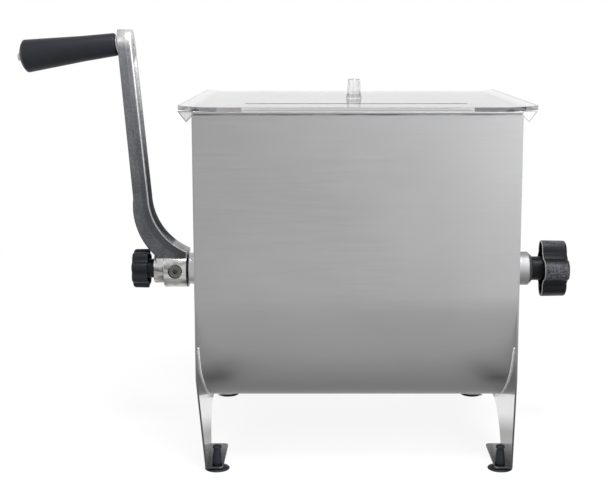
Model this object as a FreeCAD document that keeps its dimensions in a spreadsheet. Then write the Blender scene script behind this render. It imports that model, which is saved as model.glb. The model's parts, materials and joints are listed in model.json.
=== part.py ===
import FreeCAD, Part
import math
import os
import Sketcher

# Hand-cranked meat mixer: an open steel trough on four legs, a loose clear lid, a turning
# paddle inside, a cast crank on the left and a star-headed locking screw on the right.
# Frame: +X to the right along the crank axis, +Y to the rear, +Z up, the feet stand on Z = 0.
# Lengths are millimetres, angles are degrees.
SIZES = {
    # tub
    "tub_length": 268.0,
    "tub_width": 228.0,
    "axis_height": 151.6,
    "rim_height": 304.0,
    "trough_sheet": 1.2,
    "end_sheet": 1.5,
    "rim_hem_height": 2.6,
    "rim_hem_reach": 1.4,
    "end_hem_reach": 11.5,
    "end_hem_drop": 9.2,
    "end_hem_vertex": 4.4,
    "end_hem_sheet": 1.0,
    "end_hem_slope": 1.4,
    "end_hem_tip": 2.0,
    # legs, their tabs and the rubber feet
    "leg_bend_height": 80.0,
    "arch_rise": 30.0,
    "arch_half_span": 57.0,
    "arch_rear_reach": 30.0,
    "front_left_inset": 7.0,
    "rear_left_inset": 0.3,
    "front_right_inset": 2.2,
    "rear_right_inset": 1.0,
    "tab_height": 3.0,
    "tab_reach": 15.0,
    "tab_corner": 3.5,
    "foot_offset_x": 9.4,
    "front_foot_offset": 8.5,
    "rear_foot_offset": 14.0,
    "cup_diameter": 21.0,
    "cup_edge": 1.0,
    "foot_neck_diameter": 6.0,
    "foot_neck_flare": 1.5,
    "foot_shoulder_diameter": 8.8,
    "foot_stem_diameter": 6.2,
    "foot_cap_diameter": 7.6,
    "foot_cap_height": 2.0,
    "foot_cap_flare": 1.0,
    "foot_stem_height": 16.0,
    # bearings at the two ends of the crank axis
    "shaft_diameter": 16.0,
    "running_gap": 0.05,
    "boss_diameter": 29.0,
    "boss_length": 13.5,
    "bush_wall": 2.5,
    "bush_flange": 2.4,
    "bush_flange_diameter": 28.6,
    "seal_diameter": 27.0,
    "seal_length": 2.5,
    "lock_boss_diameter": 30.6,
    "lock_boss_length": 29.2,
    "lock_boss_bevel": 3.4,
    # crank
    "hub_gap": 0.9,
    "hub_diameter": 34.2,
    "hub_length": 22.2,
    "hub_nose_diameter": 26.7,
    "hub_nose_length": 9.3,
    "arm_width": 26.0,
    "arm_foot": 9.0,
    "arm_knee_height": 66.4,
    "arm_knee_reach": 65.6,
    "arm_knee_thickness": 14.4,
    "arm_top_reach": 77.6,
    "arm_top_thickness": 13.0,
    "arm_nose_inset": 2.0,
    "arm_outer_bend": 62.0,
    "arm_inner_bend": 56.0,
    "arm_channel_depth": 3.0,
    "arm_channel_rib": 4.0,
    "arm_channel_foot": 18.0,
    "crank_radius": 204.5,
    "set_screw_diameter": 11.4,
    "set_screw_recess": 1.0,
    "set_screw_key": 5.0,
    "set_screw_key_depth": 2.5,
    # grip
    "grip_tilt": 7.4,
    "grip_length": 82.0,
    "grip_inner_diameter": 20.4,
    "grip_outer_diameter": 29.6,
    "grip_dome": 5.0,
    "axle_diameter": 6.0,
    "axle_head_diameter": 9.0,
    "axle_head_height": 2.2,
    "rivet_head_diameter": 11.0,
    "rivet_head_height": 1.8,
    "rivet_seat_depth": 1.2,
    "grip_seat_gap": 0.5,
    "grip_washer_diameter": 15.0,
    "grip_washer_thickness": 1.2,
    "slip_gap": 0.3,
    # star-headed screws
    "crank_knob_neck_diameter": 17.4,
    "crank_knob_neck_length": 4.7,
    "crank_knob_diameter": 35.8,
    "crank_knob_length": 15.0,
    "crank_knob_dome": 0.8,
    "crank_knob_lobes": 8.0,
    "crank_knob_lobe_diameter": 9.4,
    "crank_knob_waist": 30.6,
    "crank_stud_diameter": 8.0,
    "crank_stud_reach": 16.0,
    "lock_knob_neck_diameter": 21.8,
    "lock_knob_neck_length": 8.6,
    "lock_knob_diameter": 51.6,
    "lock_knob_length": 23.5,
    "lock_knob_dome": 1.0,
    "lock_knob_lobes": 4.0,
    "lock_knob_lobe_diameter": 19.6,
    "lock_knob_waist": 36.0,
    "lock_stud_diameter": 12.0,
    "lock_tip_diameter": 10.0,
    "lock_tip_length": 10.0,
    "knob_wall": 2.4,
    "knob_hollow_share": 0.5,
    # drive coupling and paddle
    "coupling_diameter": 26.0,
    "coupling_length": 20.0,
    "tongue_width": 12.0,
    "tongue_height": 20.0,
    "tongue_length": 14.0,
    "drive_gap": 0.2,
    "paddle_shaft_diameter": 20.0,
    "paddle_rod_diameter": 9.0,
    "paddle_rod_reach": 60.0,
    "paddle_sweep_gap": 6.0,
    "blade_width": 52.0,
    "blade_thickness": 3.0,
    "blade_angle": 30.0,
    # lid
    "lid_overhang_x": 9.6,
    "lid_depth": 248.0,
    "lid_thickness": 3.6,
    "lid_end_rise": 1.7,
    "lid_end_span": 26.0,
    "lid_bar_length": 186.0,
    "lid_bar_width": 39.0,
    "lid_bar_height": 6.0,
    "lid_bar_gap": 2.0,
    "lid_knob_base_diameter": 14.0,
    "lid_knob_top_diameter": 11.2,
    "lid_knob_height": 17.4,
    "lid_knob_round": 1.0,
}

doc = FreeCAD.newDocument("MeatMixer")
sheet = doc.addObject("Spreadsheet::Sheet", "Sizes")
for row, (name, number) in enumerate(SIZES.items(), start=1):
    sheet.set("A%d" % row, name)
    sheet.set("B%d" % row, str(number))
    sheet.setAlias("B%d" % row, name)
doc.recompute()


class Size:
    """A length that carries its number and the sheet expression that it follows."""

    def __init__(self, number, text):
        self.number = number
        self.text = text

    def __add__(self, other):
        other = as_size(other)
        return Size(self.number + other.number, "(%s + %s)" % (self.text, other.text))

    def __radd__(self, other):
        return as_size(other) + self

    def __sub__(self, other):
        other = as_size(other)
        return Size(self.number - other.number, "(%s - %s)" % (self.text, other.text))

    def __rsub__(self, other):
        return as_size(other) - self

    def __mul__(self, other):
        other = as_size(other)
        return Size(self.number * other.number, "(%s * %s)" % (self.text, other.text))

    def __rmul__(self, other):
        return as_size(other) * self

    def __truediv__(self, other):
        other = as_size(other)
        return Size(self.number / other.number, "(%s / %s)" % (self.text, other.text))

    def __neg__(self):
        return Size(-self.number, "(-%s)" % self.text)


def as_size(value):
    if isinstance(value, Size):
        return value
    return Size(float(value), repr(float(value)))


def cosine(angle):
    return Size(math.cos(math.radians(angle.number)), "cos(%s * 1 deg)" % angle.text)


def sine(angle):
    return Size(math.sin(math.radians(angle.number)), "sin(%s * 1 deg)" % angle.text)


def root(value):
    return Size(math.sqrt(value.number), "sqrt(%s)" % value.text)


class Named:
    """The sheet's sizes, read as attributes."""

    def __getattr__(self, name):
        return Size(SIZES[name], "Sizes." + name)


d = Named()
NIL = as_size(0.0)
PADDLE_BLADES = 4
parts = []

# Places measured outwards from the tub's middle: its ends, its feet and the stations along the crank axis.
half_length = d.tub_length / 2
half_width = d.tub_width / 2
front_foot_y = d.front_foot_offset - half_width
rear_foot_y = half_width - d.rear_foot_offset
bush_end = half_length + d.boss_length + d.bush_flange
hub_start = bush_end + d.hub_gap
hub_step = hub_start + d.hub_length
hub_end = hub_step + d.hub_nose_length
crank_knob_start = hub_end
lock_boss_end = half_length + d.lock_boss_length
lock_knob_start = lock_boss_end + d.slip_gap
lock_knob_end = lock_knob_start + d.lock_knob_neck_length + d.lock_knob_length
inner_half = half_length - d.end_sheet
seal_end = inner_half - d.seal_length
coupling_end = seal_end - d.slip_gap - d.coupling_length

# The grip's axle crosses the arm's outer face here.
grip_rise = cosine(d.grip_tilt)
grip_fall = sine(d.grip_tilt)
axle_height = d.axis_height + d.crank_radius
arm_lean = (d.arm_top_reach - d.arm_knee_reach) / (d.crank_radius + d.arm_width / 2 - d.arm_knee_height)
axle_reach = half_length + d.arm_top_reach - arm_lean * (d.arm_width / 2)

# The grip lies on its axle between a washer at the arm and the axle's head; its end is a shallow dome.
grip_start = d.grip_seat_gap + d.grip_washer_thickness + d.slip_gap
grip_end = grip_start + d.grip_length
grip_rim, head_rim = d.grip_outer_diameter / 2, d.axle_head_diameter / 2
dome_radius = (grip_rim * grip_rim + d.grip_dome * d.grip_dome) / (d.grip_dome * 2)
dome_at_head = root(dome_radius * dome_radius - head_rim * head_rim) - dome_radius + d.grip_dome
head_start = grip_end + dome_at_head + d.slip_gap
axle_out = head_start + d.axle_head_height

# The crank side reaches further than the lock side, so the whole is moved to stand centred.
left_reach = axle_reach + axle_out * grip_rise
frame_shift = (left_reach - lock_knob_end) / 2


def bind(item, **sizes):
    for prop, size in sizes.items():
        item.setExpression(prop, as_size(size).text)


def place(item, x=NIL, y=NIL, z=NIL):
    for letter, size in (("x", x), ("y", y), ("z", z)):
        item.setExpression("Placement.Base." + letter, as_size(size).text)


def turn(item, axis, degrees):
    item.Placement = FreeCAD.Placement(FreeCAD.Vector(), FreeCAD.Rotation(FreeCAD.Vector(*axis), degrees))


def turn_by(item, axis, size):
    turn(item, axis, size.number)
    item.setExpression("Placement.Rotation.Angle", "%s * 1 deg" % size.text)


def keep(item, node, x=NIL, y=NIL, z=NIL):
    """Names a finished sub-part and stands it in the shared frame."""
    item.Label = node
    place(item, frame_shift + x, y, z)
    parts.append(item)
    return item


def new_body(name):
    return doc.addObject("PartDesign::Body", name + "_body")


def new_sketch(body, plane, offset=None):
    sketch = body.newObject("Sketcher::SketchObject", body.Name + "_sketch")
    origin_plane = [o for o in body.Origin.OriginFeatures if o.Role == plane][0]
    sketch.AttachmentSupport = [(origin_plane, "")]
    sketch.MapMode = "FlatFace"
    if offset is not None:
        sketch.setExpression("AttachmentOffset.Base.z", offset.text)
    return sketch


def pin_point(sketch, edge, end, u, v):
    """Holds one point of a sketch at the sizes u, v from the sketch's origin."""
    for kind, size, axis in (("DistanceX", u, -2), ("DistanceY", v, -1)):
        if size is NIL:
            sketch.addConstraint(Sketcher.Constraint("PointOnObject", edge, end, axis))
            continue
        index = sketch.addConstraint(Sketcher.Constraint(kind, -1, 1, edge, end, size.number))
        sketch.setExpression("Constraints[%d]" % index, size.text)


def arc_between(start, end, radius):
    """A round edge of under half a turn, turning left for a positive radius."""
    chord = end - start
    reach = math.sqrt(max(radius * radius - chord.Length ** 2 / 4, 0.0))
    aside = FreeCAD.Vector(-chord.y, chord.x, 0).normalize()
    centre = (start + end) / 2 + aside * math.copysign(reach, radius)
    circle = Part.Circle(centre, FreeCAD.Vector(0, 0, 1), abs(radius))
    first, last = (start, end) if radius > 0 else (end, start)
    return Part.ArcOfCircle(circle, circle.parameter(first), circle.parameter(last))


def outline(sketch, corners):
    """Draws a closed outline. A corner is (u, v), or (u, v, radius) where a round edge leads to it."""
    corners = [(as_size(c[0]) if c[0] is not NIL else NIL, as_size(c[1]) if c[1] is not NIL else NIL,
                as_size(c[2]) if len(c) > 2 else None) for c in corners]
    spots = [FreeCAD.Vector(u.number, v.number, 0) for u, v, r in corners]
    ends = []
    for index, (u, v, radius) in enumerate(corners):
        start, end = spots[index - 1], spots[index]
        if radius is None:
            edge = sketch.addGeometry(Part.LineSegment(start, end), False)
            ends.append((edge, 1, 2))
            continue
        edge = sketch.addGeometry(arc_between(start, end, radius.number), False)
        ends.append((edge, 1, 2) if radius.number > 0 else (edge, 2, 1))
    for index, (edge, first, last) in enumerate(ends):
        follower, follower_first, _ = ends[(index + 1) % len(ends)]
        sketch.addConstraint(Sketcher.Constraint("Coincident", edge, last, follower, follower_first))
    for (edge, first, last), (u, v, radius) in zip(ends, corners):
        pin_point(sketch, edge, last, u, v)
        if radius is not None:
            held = radius if radius.number > 0 else -radius
            index = sketch.addConstraint(Sketcher.Constraint("Radius", edge, held.number))
            sketch.setExpression("Constraints[%d]" % index, held.text)


def round_hole(sketch, u, v, diameter):
    centre = FreeCAD.Vector(u.number, v.number, 0)
    circle = Part.Circle(centre, FreeCAD.Vector(0, 0, 1), diameter.number / 2)
    edge = sketch.addGeometry(circle, False)
    pin_point(sketch, edge, 3, u, v)
    index = sketch.addConstraint(Sketcher.Constraint("Diameter", edge, diameter.number))
    sketch.setExpression("Constraints[%d]" % index, diameter.text)


def pad(body, sketch, length, both_ways=False, backwards=False):
    feature = body.newObject("PartDesign::Pad", body.Name + "_pad")
    feature.Profile = sketch
    feature.Midplane = both_ways
    feature.Reversed = backwards
    bind(feature, Length=length)
    doc.recompute()
    return feature


def cut_through(body, sketch, length):
    before = body.Shape.Volume
    feature = body.newObject("PartDesign::Pocket", body.Name + "_pocket")
    feature.Profile = sketch
    feature.Midplane = True
    bind(feature, Length=length)
    doc.recompute()
    if not body.Shape.Volume < before:
        raise RuntimeError(feature.Name + " removed nothing")
    return feature


def extruded(name, plane, corners, length, both_ways=True, offset=None, backwards=False):
    body = new_body(name)
    sketch = new_sketch(body, plane, offset)
    outline(sketch, corners)
    pad(body, sketch, length, both_ways, backwards)
    return body


def turned(name, corners, axis="H_Axis"):
    """A turned piece: corners are (along X, radius), or (radius, height) about the V axis."""
    body = new_body(name)
    sketch = new_sketch(body, "XZ_Plane")
    outline(sketch, corners)
    feature = body.newObject("PartDesign::Revolution", body.Name + "_turn")
    feature.Profile = sketch
    feature.ReferenceAxis = (sketch, [axis])
    feature.Angle = 360.0
    doc.recompute()
    return body


def ring(name, start, end, bore, outer):
    """A turned ring along X between start and end."""
    return turned(name, [(start, bore / 2), (end, bore / 2), (end, outer / 2), (start, outer / 2)])


def bar(name, diameter, length, axis="X"):
    """A round bar along an axis, starting at its own origin."""
    item = doc.addObject("Part::Cylinder", name + "_bar")
    bind(item, Radius=as_size(diameter) / 2, Height=length)
    if axis == "X":
        turn(item, (0, 1, 0), 90)
    if axis == "Y":
        turn(item, (1, 0, 0), -90)
    return item


def block(name, length, width, height):
    """A box centred on its own X and Y, standing on its own Z = 0."""
    item = doc.addObject("Part::Box", name + "_block")
    bind(item, Length=length, Width=width, Height=height)
    place(item, -as_size(length) / 2, -as_size(width) / 2)
    return item


def minus(name, base, tool):
    item = doc.addObject("Part::Cut", name)
    item.Base = base
    item.Tool = tool
    doc.recompute()
    return item


def joined(name, pieces):
    item = doc.addObject("Part::MultiFuse", name)
    item.Shapes = pieces
    item.Refine = True
    doc.recompute()
    return item


def shared(name, first, second):
    item = doc.addObject("Part::MultiCommon", name)
    item.Shapes = [first, second]
    doc.recompute()
    return item


def trough_shell(leg_spaces):
    """The U-shaped sheet between the end plates, its ends trimmed where the legs lean in."""
    outer, inner = half_width, half_width - d.trough_sheet
    rim, turn_height = d.rim_height, d.axis_height
    hem, hem_foot = half_width + d.rim_hem_reach, d.rim_height - d.rim_hem_height
    body = extruded("trough", "YZ_Plane", [
        (-hem, rim), (-hem, hem_foot), (-outer, hem_foot), (-outer, turn_height),
        (NIL, turn_height - outer, outer), (outer, turn_height, outer),
        (outer, hem_foot), (hem, hem_foot), (hem, rim), (inner, rim), (inner, turn_height),
        (NIL, turn_height - inner, -inner), (-inner, turn_height, -inner), (-inner, rim),
    ], inner_half * 2)
    keep(minus("trough_trimmed", body, joined("leg_spaces", leg_spaces)), "trough_shell")


def foot_tabs(node, side, front_out, rear_out):
    """The tabs bent inwards at the feet of one end sheet, their free corners rounded."""
    tabs = []
    front_near, rear_near = -d.arch_half_span, d.arch_half_span + d.arch_rear_reach
    for end, out, near, name in ((-1, front_out, front_near, "front"), (1, rear_out, rear_near, "rear")):
        far = end * half_width
        tip, corner = out - side * d.tab_reach, d.tab_corner
        radius = corner if side * end > 0 else -corner
        tabs.append(extruded("%s_%s_tab" % (node, name), "XY_Plane", [
            (out, near), (out, far), (tip + side * corner, far), (tip, far - end * corner, radius),
            (tip, near + end * corner), (tip + side * corner, near, radius),
        ], d.end_sheet, False, d.tab_height))
    return tabs


def rim_fold(node, side):
    """The hollow three-sided fold along the top of an end sheet."""
    outer, sheet_in = side * half_length, d.end_hem_sheet
    top, low = d.rim_height, d.rim_height - d.end_hem_drop
    tip, vertex = half_length + d.end_hem_reach, half_length + d.end_hem_vertex
    root_height = d.rim_height - d.end_hem_drop / 2
    return extruded(node + "_fold", "XZ_Plane", [
        (outer, top), (side * tip, top), (side * vertex, low), (outer, root_height),
        (outer, root_height + d.end_hem_slope), (side * vertex, low + d.end_hem_slope),
        (side * (tip - d.end_hem_tip), top - sheet_in), (outer, top - sheet_in),
    ], d.tub_width)


def plate_holes(node, side, outs, hole):
    """The bearing hole and the two stem holes of one end sheet."""
    through = d.end_sheet * 3
    bore = bar(node + "_hole", hole, through)
    place(bore, side * half_length - through / 2, NIL, d.axis_height)
    holes = [bore]
    for stem_y, out in zip((front_foot_y, rear_foot_y), outs):
        stem = bar(node + "_stem_hole", d.foot_neck_diameter + d.running_gap * 2, through, "Z")
        place(stem, out - side * d.foot_offset_x, stem_y, d.tab_height - d.end_sheet)
        holes.append(stem)
    return joined(node + "_holes", holes)


def end_plate(node, side, front_inset, rear_inset, hole):
    """An end sheet with legs, arch, bent foot tabs and a fold; gives its foot ends and its legs' space."""
    outer, inner = side * half_length, side * inner_half
    front, rear = -half_width, half_width
    plate = extruded(node + "_wall", "XY_Plane", [
        (outer, front), (inner, front), (inner, rear), (outer, rear),
    ], d.rim_height - d.leg_bend_height, False, d.leg_bend_height)

    legs = leaning_sheet(node + "_legs", side, front_inset, rear_inset, half_length)
    legs_cut = minus(node + "_legs_cut", legs, leg_arch(node + "_arch"))

    outs = side * (half_length - front_inset), side * (half_length - rear_inset)
    pieces = [plate, legs_cut, rim_fold(node, side)] + foot_tabs(node, side, *outs)
    whole = joined(node + "_whole", pieces)
    keep(minus(node + "_cut", whole, plate_holes(node, side, outs, hole)), node)
    leg_space = leaning_sheet(node + "_leg_space", side, front_inset, rear_inset, half_length + d.tab_reach)
    return outs + (leg_space,)


def leaning_sheet(name, side, front_inset, rear_inset, outside):
    """The sheet below the bend: straight at its top, its front and rear foot ends set inwards."""
    front, rear = -half_width, half_width
    body = new_body(name)
    upper = new_sketch(body, "XY_Plane", d.leg_bend_height)
    outline(upper, [(side * outside, front), (side * inner_half, front),
                    (side * inner_half, rear), (side * outside, rear)])
    lower = new_sketch(body, "XY_Plane", d.tab_height)
    outline(lower, [(side * (outside - front_inset), front), (side * (inner_half - front_inset), front),
                    (side * (inner_half - rear_inset), rear), (side * (outside - rear_inset), rear)])
    loft = body.newObject("PartDesign::AdditiveLoft", body.Name + "_loft")
    loft.Profile = upper
    loft.Sections = [lower]
    loft.Ruled = True
    doc.recompute()
    return body


def leg_arch(name):
    """The space under the arch between the legs; it runs further to the rear, where the legs are narrower."""
    span, rise, reach = d.arch_half_span, d.arch_rise, d.arch_rear_reach
    radius = (span * span + rise * rise) / (rise * 2)
    return extruded(name, "YZ_Plane", [
        (-span, NIL), (NIL, rise, -radius), (reach, rise), (span + reach, NIL, -radius),
        (span + reach, -rise), (-span, -rise),
    ], d.tub_length * 2)


def rubber_foot(node, x, y):
    """A suction cup whose stem is pulled up through the tab."""
    tab_foot, tab_top = d.tab_height, d.tab_height + d.end_sheet
    cup, neck = d.cup_diameter / 2, d.foot_neck_diameter / 2
    cap, top = d.foot_cap_diameter / 2, tab_top + d.foot_stem_height
    cap_foot = top - d.foot_cap_height
    body = turned(node, [
        (NIL, NIL), (cup, NIL), (cup, d.cup_edge), (neck + d.foot_neck_flare, tab_foot),
        (neck, tab_foot), (neck, tab_top), (d.foot_shoulder_diameter / 2, tab_top),
        (d.foot_stem_diameter / 2, cap_foot - d.foot_cap_flare), (cap, cap_foot), (cap, top), (NIL, top),
    ], "V_Axis")
    keep(body, node, x, y)


def bearings():
    """The welded boss, the flanged bush in it and the seal ring inside the tub."""
    bore = d.shaft_diameter + d.running_gap * 2
    seat = d.shaft_diameter + d.bush_wall * 2
    boss_end = half_length + d.boss_length
    left_boss = ring("left_boss", -boss_end, -half_length, seat, d.boss_diameter)
    keep(left_boss, "left_bearing_boss", NIL, NIL, d.axis_height)
    bush = turned("left_bush", [
        (-bush_end, bore / 2), (-inner_half, bore / 2), (-inner_half, seat / 2), (-boss_end, seat / 2),
        (-boss_end, d.bush_flange_diameter / 2), (-bush_end, d.bush_flange_diameter / 2),
    ])
    keep(bush, "left_bush", NIL, NIL, d.axis_height)
    seal = ring("left_seal", -inner_half, -seal_end, bore, d.seal_diameter)
    keep(seal, "left_shaft_seal", NIL, NIL, d.axis_height)
    tap = d.lock_stud_diameter + d.running_gap * 2
    outer, bevel = d.lock_boss_diameter / 2, d.lock_boss_bevel
    spigot = outer - bevel
    right_boss = turned("right_boss", [
        (inner_half, tap / 2), (lock_boss_end, tap / 2), (lock_boss_end, spigot),
        (lock_boss_end - bevel, outer), (half_length, outer), (half_length, spigot), (inner_half, spigot),
    ])
    keep(right_boss, "right_bearing_boss", NIL, NIL, d.axis_height)


def arm_body(foot, knee, top):
    """The leaning arm, swept out of the hub below and rounded at its top."""
    knee_out, top_out = half_length + d.arm_knee_reach, half_length + d.arm_top_reach
    knee_in, top_in = knee_out - d.arm_knee_thickness, top_out - d.arm_top_thickness
    nose, nose_height = hub_end - d.arm_nose_inset, d.axis_height + d.hub_nose_diameter / 2
    arm = extruded("arm", "XZ_Plane", [
        (-top_out, top), (-knee_out, knee), (-nose, nose_height, d.arm_outer_bend),
        (-nose, foot), (-hub_start, foot), (-hub_start, d.axis_height + d.hub_diameter / 2),
        (-knee_in, knee, -d.arm_inner_bend), (-top_in, top),
    ], d.arm_width)
    end = new_sketch(arm, "YZ_Plane")
    half, beyond = d.arm_width / 2, d.arm_width
    outline(end, [
        (half, axle_height), (NIL, top, half), (-half, axle_height, half),
        (-beyond, axle_height), (-beyond, top + half), (beyond, top + half), (beyond, axle_height),
    ])
    cut_through(arm, end, (top_out + half) * 2)
    return minus("arm_channelled", arm, arm_channel(foot, knee, top, knee_in, top_in))


def arm_channel(foot, knee, top, knee_in, top_in):
    """The channel in the arm's inner face, between its two side ribs."""
    rib, depth = d.arm_channel_rib, d.arm_channel_depth
    crown = axle_height - d.arm_width / 2
    crown_in = top_in - (top_in - knee_in) * (top - crown) / (top - knee)
    clear, channel_foot = hub_start - d.arm_width, foot + d.arm_channel_foot
    return extruded("arm_channel", "XZ_Plane", [
        (-(crown_in + depth), crown), (-(knee_in + depth), knee),
        (-(hub_step - rib), channel_foot, d.arm_inner_bend), (-clear, channel_foot), (-clear, crown),
    ], d.arm_width - rib * 2)


def along_axle(item, outward):
    """Lays a bar along the grip's tilted axle, its outer end at a distance from the arm's face."""
    turn_by(item, (0, 1, 0), 90 - d.grip_tilt)
    place(item, -axle_reach - outward * grip_rise, NIL, axle_height - outward * grip_fall)
    return item


def crank_arm():
    """The cast crank: a stepped hub and an arm, bored for the shaft, the set screw and the grip's axle."""
    foot, knee = d.axis_height + d.arm_foot, d.axis_height + d.arm_knee_height
    hub = bar("hub", d.hub_diameter, d.hub_length)
    place(hub, -hub_step, NIL, d.axis_height)
    nose = bar("hub_nose", d.hub_nose_diameter, d.hub_nose_length)
    place(nose, -hub_end, NIL, d.axis_height)
    arm = arm_body(foot, knee, axle_height + d.arm_width / 2)
    casting = joined("crank_casting", [arm, hub, nose])

    bore = bar("hub_bore", d.shaft_diameter, d.hub_length + d.hub_nose_length)
    place(bore, -hub_end, NIL, d.axis_height)
    screw_hole = bar("hub_screw_hole", d.set_screw_diameter, d.hub_diameter / 2, "Y")
    place(screw_hole, -screw_place(), -d.hub_diameter / 2, d.axis_height)
    beyond = d.arm_width * 2
    pin_hole = along_axle(bar("arm_pin_hole", d.axle_diameter, beyond * 2), beyond)
    seat = along_axle(bar("rivet_seat", d.rivet_head_diameter + d.slip_gap * 2, d.arm_width), -rivet_start())
    holes = joined("crank_holes", [bore, screw_hole, pin_hole, seat])
    keep(minus("crank_cut", casting, holes), "crank_arm")


def rivet_start():
    """The riveted end bears on a shallow seat in the arm's inner face."""
    return d.arm_top_thickness - d.rivet_seat_depth


def screw_place():
    """The set screw stands in the middle of the hub's wide part."""
    return hub_start + d.hub_length / 2


def set_screw():
    """A socket-headed set screw in the front of the hub, bearing on the drive shaft."""
    depth = d.hub_diameter / 2 - d.shaft_diameter / 2 - d.set_screw_recess
    face = d.hub_diameter / 2 - d.set_screw_recess
    screw = bar("screw", d.set_screw_diameter, depth, "Y")
    place(screw, NIL, -face)
    key = doc.addObject("Part::Prism", "screw_key")
    key.Polygon = 6
    bind(key, Circumradius=d.set_screw_key / 2, Height=d.set_screw_key_depth)
    turn(key, (1, 0, 0), -90)
    place(key, NIL, -face)
    socketed = minus("screw_cut", screw, key)
    curve = bar("screw_seat", d.shaft_diameter, d.hub_length)
    place(curve, -d.hub_length / 2)
    keep(minus("screw_seated", socketed, curve), "hub_set_screw", -screw_place(), NIL, d.axis_height)


def drive_shaft():
    """The short shaft that the crank turns: tapped for the knob's stud, with a tongue inside the tub."""
    tap = d.crank_stud_diameter + d.running_gap * 2
    shaft = turned("shaft", [
        (-hub_end, tap / 2), (-(hub_end - d.crank_stud_reach - d.slip_gap), tap / 2),
        (-(hub_end - d.crank_stud_reach - d.slip_gap), NIL), (-coupling_end, NIL),
        (-coupling_end, d.coupling_diameter / 2), (-(seal_end - d.slip_gap), d.coupling_diameter / 2),
        (-(seal_end - d.slip_gap), d.shaft_diameter / 2), (-hub_end, d.shaft_diameter / 2),
    ])
    place(shaft, NIL, NIL, d.axis_height)
    tongue = block("tongue", d.tongue_length, d.tongue_width, d.tongue_height)
    place(tongue, -coupling_end, -d.tongue_width / 2, d.axis_height - d.tongue_height / 2)
    keep(joined("drive", [shaft, tongue]), "drive_shaft")


def tilted(item, node):
    """Stands a piece of the grip on the tilted axle."""
    turn_by(item, (0, 1, 0), -d.grip_tilt)
    keep(item, node, -axle_reach, NIL, axle_height)


def grip_pieces():
    """The riveted axle, the washer against the arm and the free-turning tapered grip."""
    pin, rivet = d.axle_diameter / 2, d.rivet_head_diameter / 2
    inward = rivet_start()
    rivet_end = inward + d.rivet_head_height
    axle = turned("axle", [
        (-axle_out, NIL), (-axle_out, pin), (-head_start, head_rim), (-head_start, pin),
        (inward, pin), (inward, rivet), (rivet_end, pin), (rivet_end, NIL),
    ])
    tilted(axle, "grip_axle")
    near, far = d.grip_seat_gap, d.grip_seat_gap + d.grip_washer_thickness
    washer = ring("washer", -far, -near, d.axle_diameter, d.grip_washer_diameter)
    tilted(washer, "grip_washer")
    bore = pin + d.running_gap
    grip = turned("grip", [
        (-grip_start, bore), (-grip_start, d.grip_inner_diameter / 2), (-grip_end, grip_rim),
        (-(grip_end + dome_at_head), head_rim, dome_radius), (-(grip_end + dome_at_head), bore),
    ])
    tilted(grip, "grip")


def lobed_head(name, start, length, outer, lobes, lobe, waist, side):
    """Round lobes about a plain core, between start and start + length; one lobe faces the front."""
    body = new_body(name + "_lobes")
    core = new_sketch(body, "YZ_Plane", side * start)
    round_hole(core, NIL, NIL, waist)
    pad(body, core, length, False, side < 0)
    lobed = new_sketch(body, "YZ_Plane", side * start)
    round_hole(lobed, (lobe - outer) / 2, NIL, lobe)
    lobe_pad = pad(body, lobed, length, False, side < 0)
    pattern = body.newObject("PartDesign::PolarPattern", name + "_pattern")
    pattern.Originals = [lobe_pad]
    pattern.Axis = (core, ["N_Axis"])
    pattern.Angle = 360.0
    bind(pattern, Occurrences=lobes)
    body.Tip = pattern
    doc.recompute()
    return body


def star_head(name, start, neck_length, length, dome, neck, outer, star, bore, side):
    """A star knob: a lobed hollow head with a domed face, on a round neck; star is its number of lobes,
    their diameter and the diameter of the core between them."""
    reach = outer / 2 + d.knob_wall
    lobes, lobe, waist = star
    head, end = start + neck_length, start + neck_length + length
    depth = length * d.knob_hollow_share
    curve = (reach * reach + dome * dome) / (dome * 2)
    domed = turned(name + "_face", [
        (side * head, NIL), (side * head, reach), (side * (end - dome), reach),
        (side * end, NIL, -side * curve),
    ])
    lobed = lobed_head(name, head, length, outer, lobes, lobe, waist, side)
    head_solid = shared(name + "_star", lobed, domed)
    hollow = ring(name + "_hollow", side * head, side * (head + depth), neck, waist - d.knob_wall * 2)
    socket = bar(name + "_socket", bore, depth)
    place(socket, -(head + depth) if side < 0 else head)
    shell = minus(name + "_shell", head_solid, joined(name + "_voids", [hollow, socket]))
    collar = ring(name + "_collar", side * start, side * (head + depth), bore, neck)
    return joined(name + "_whole", [shell, collar])


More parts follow.
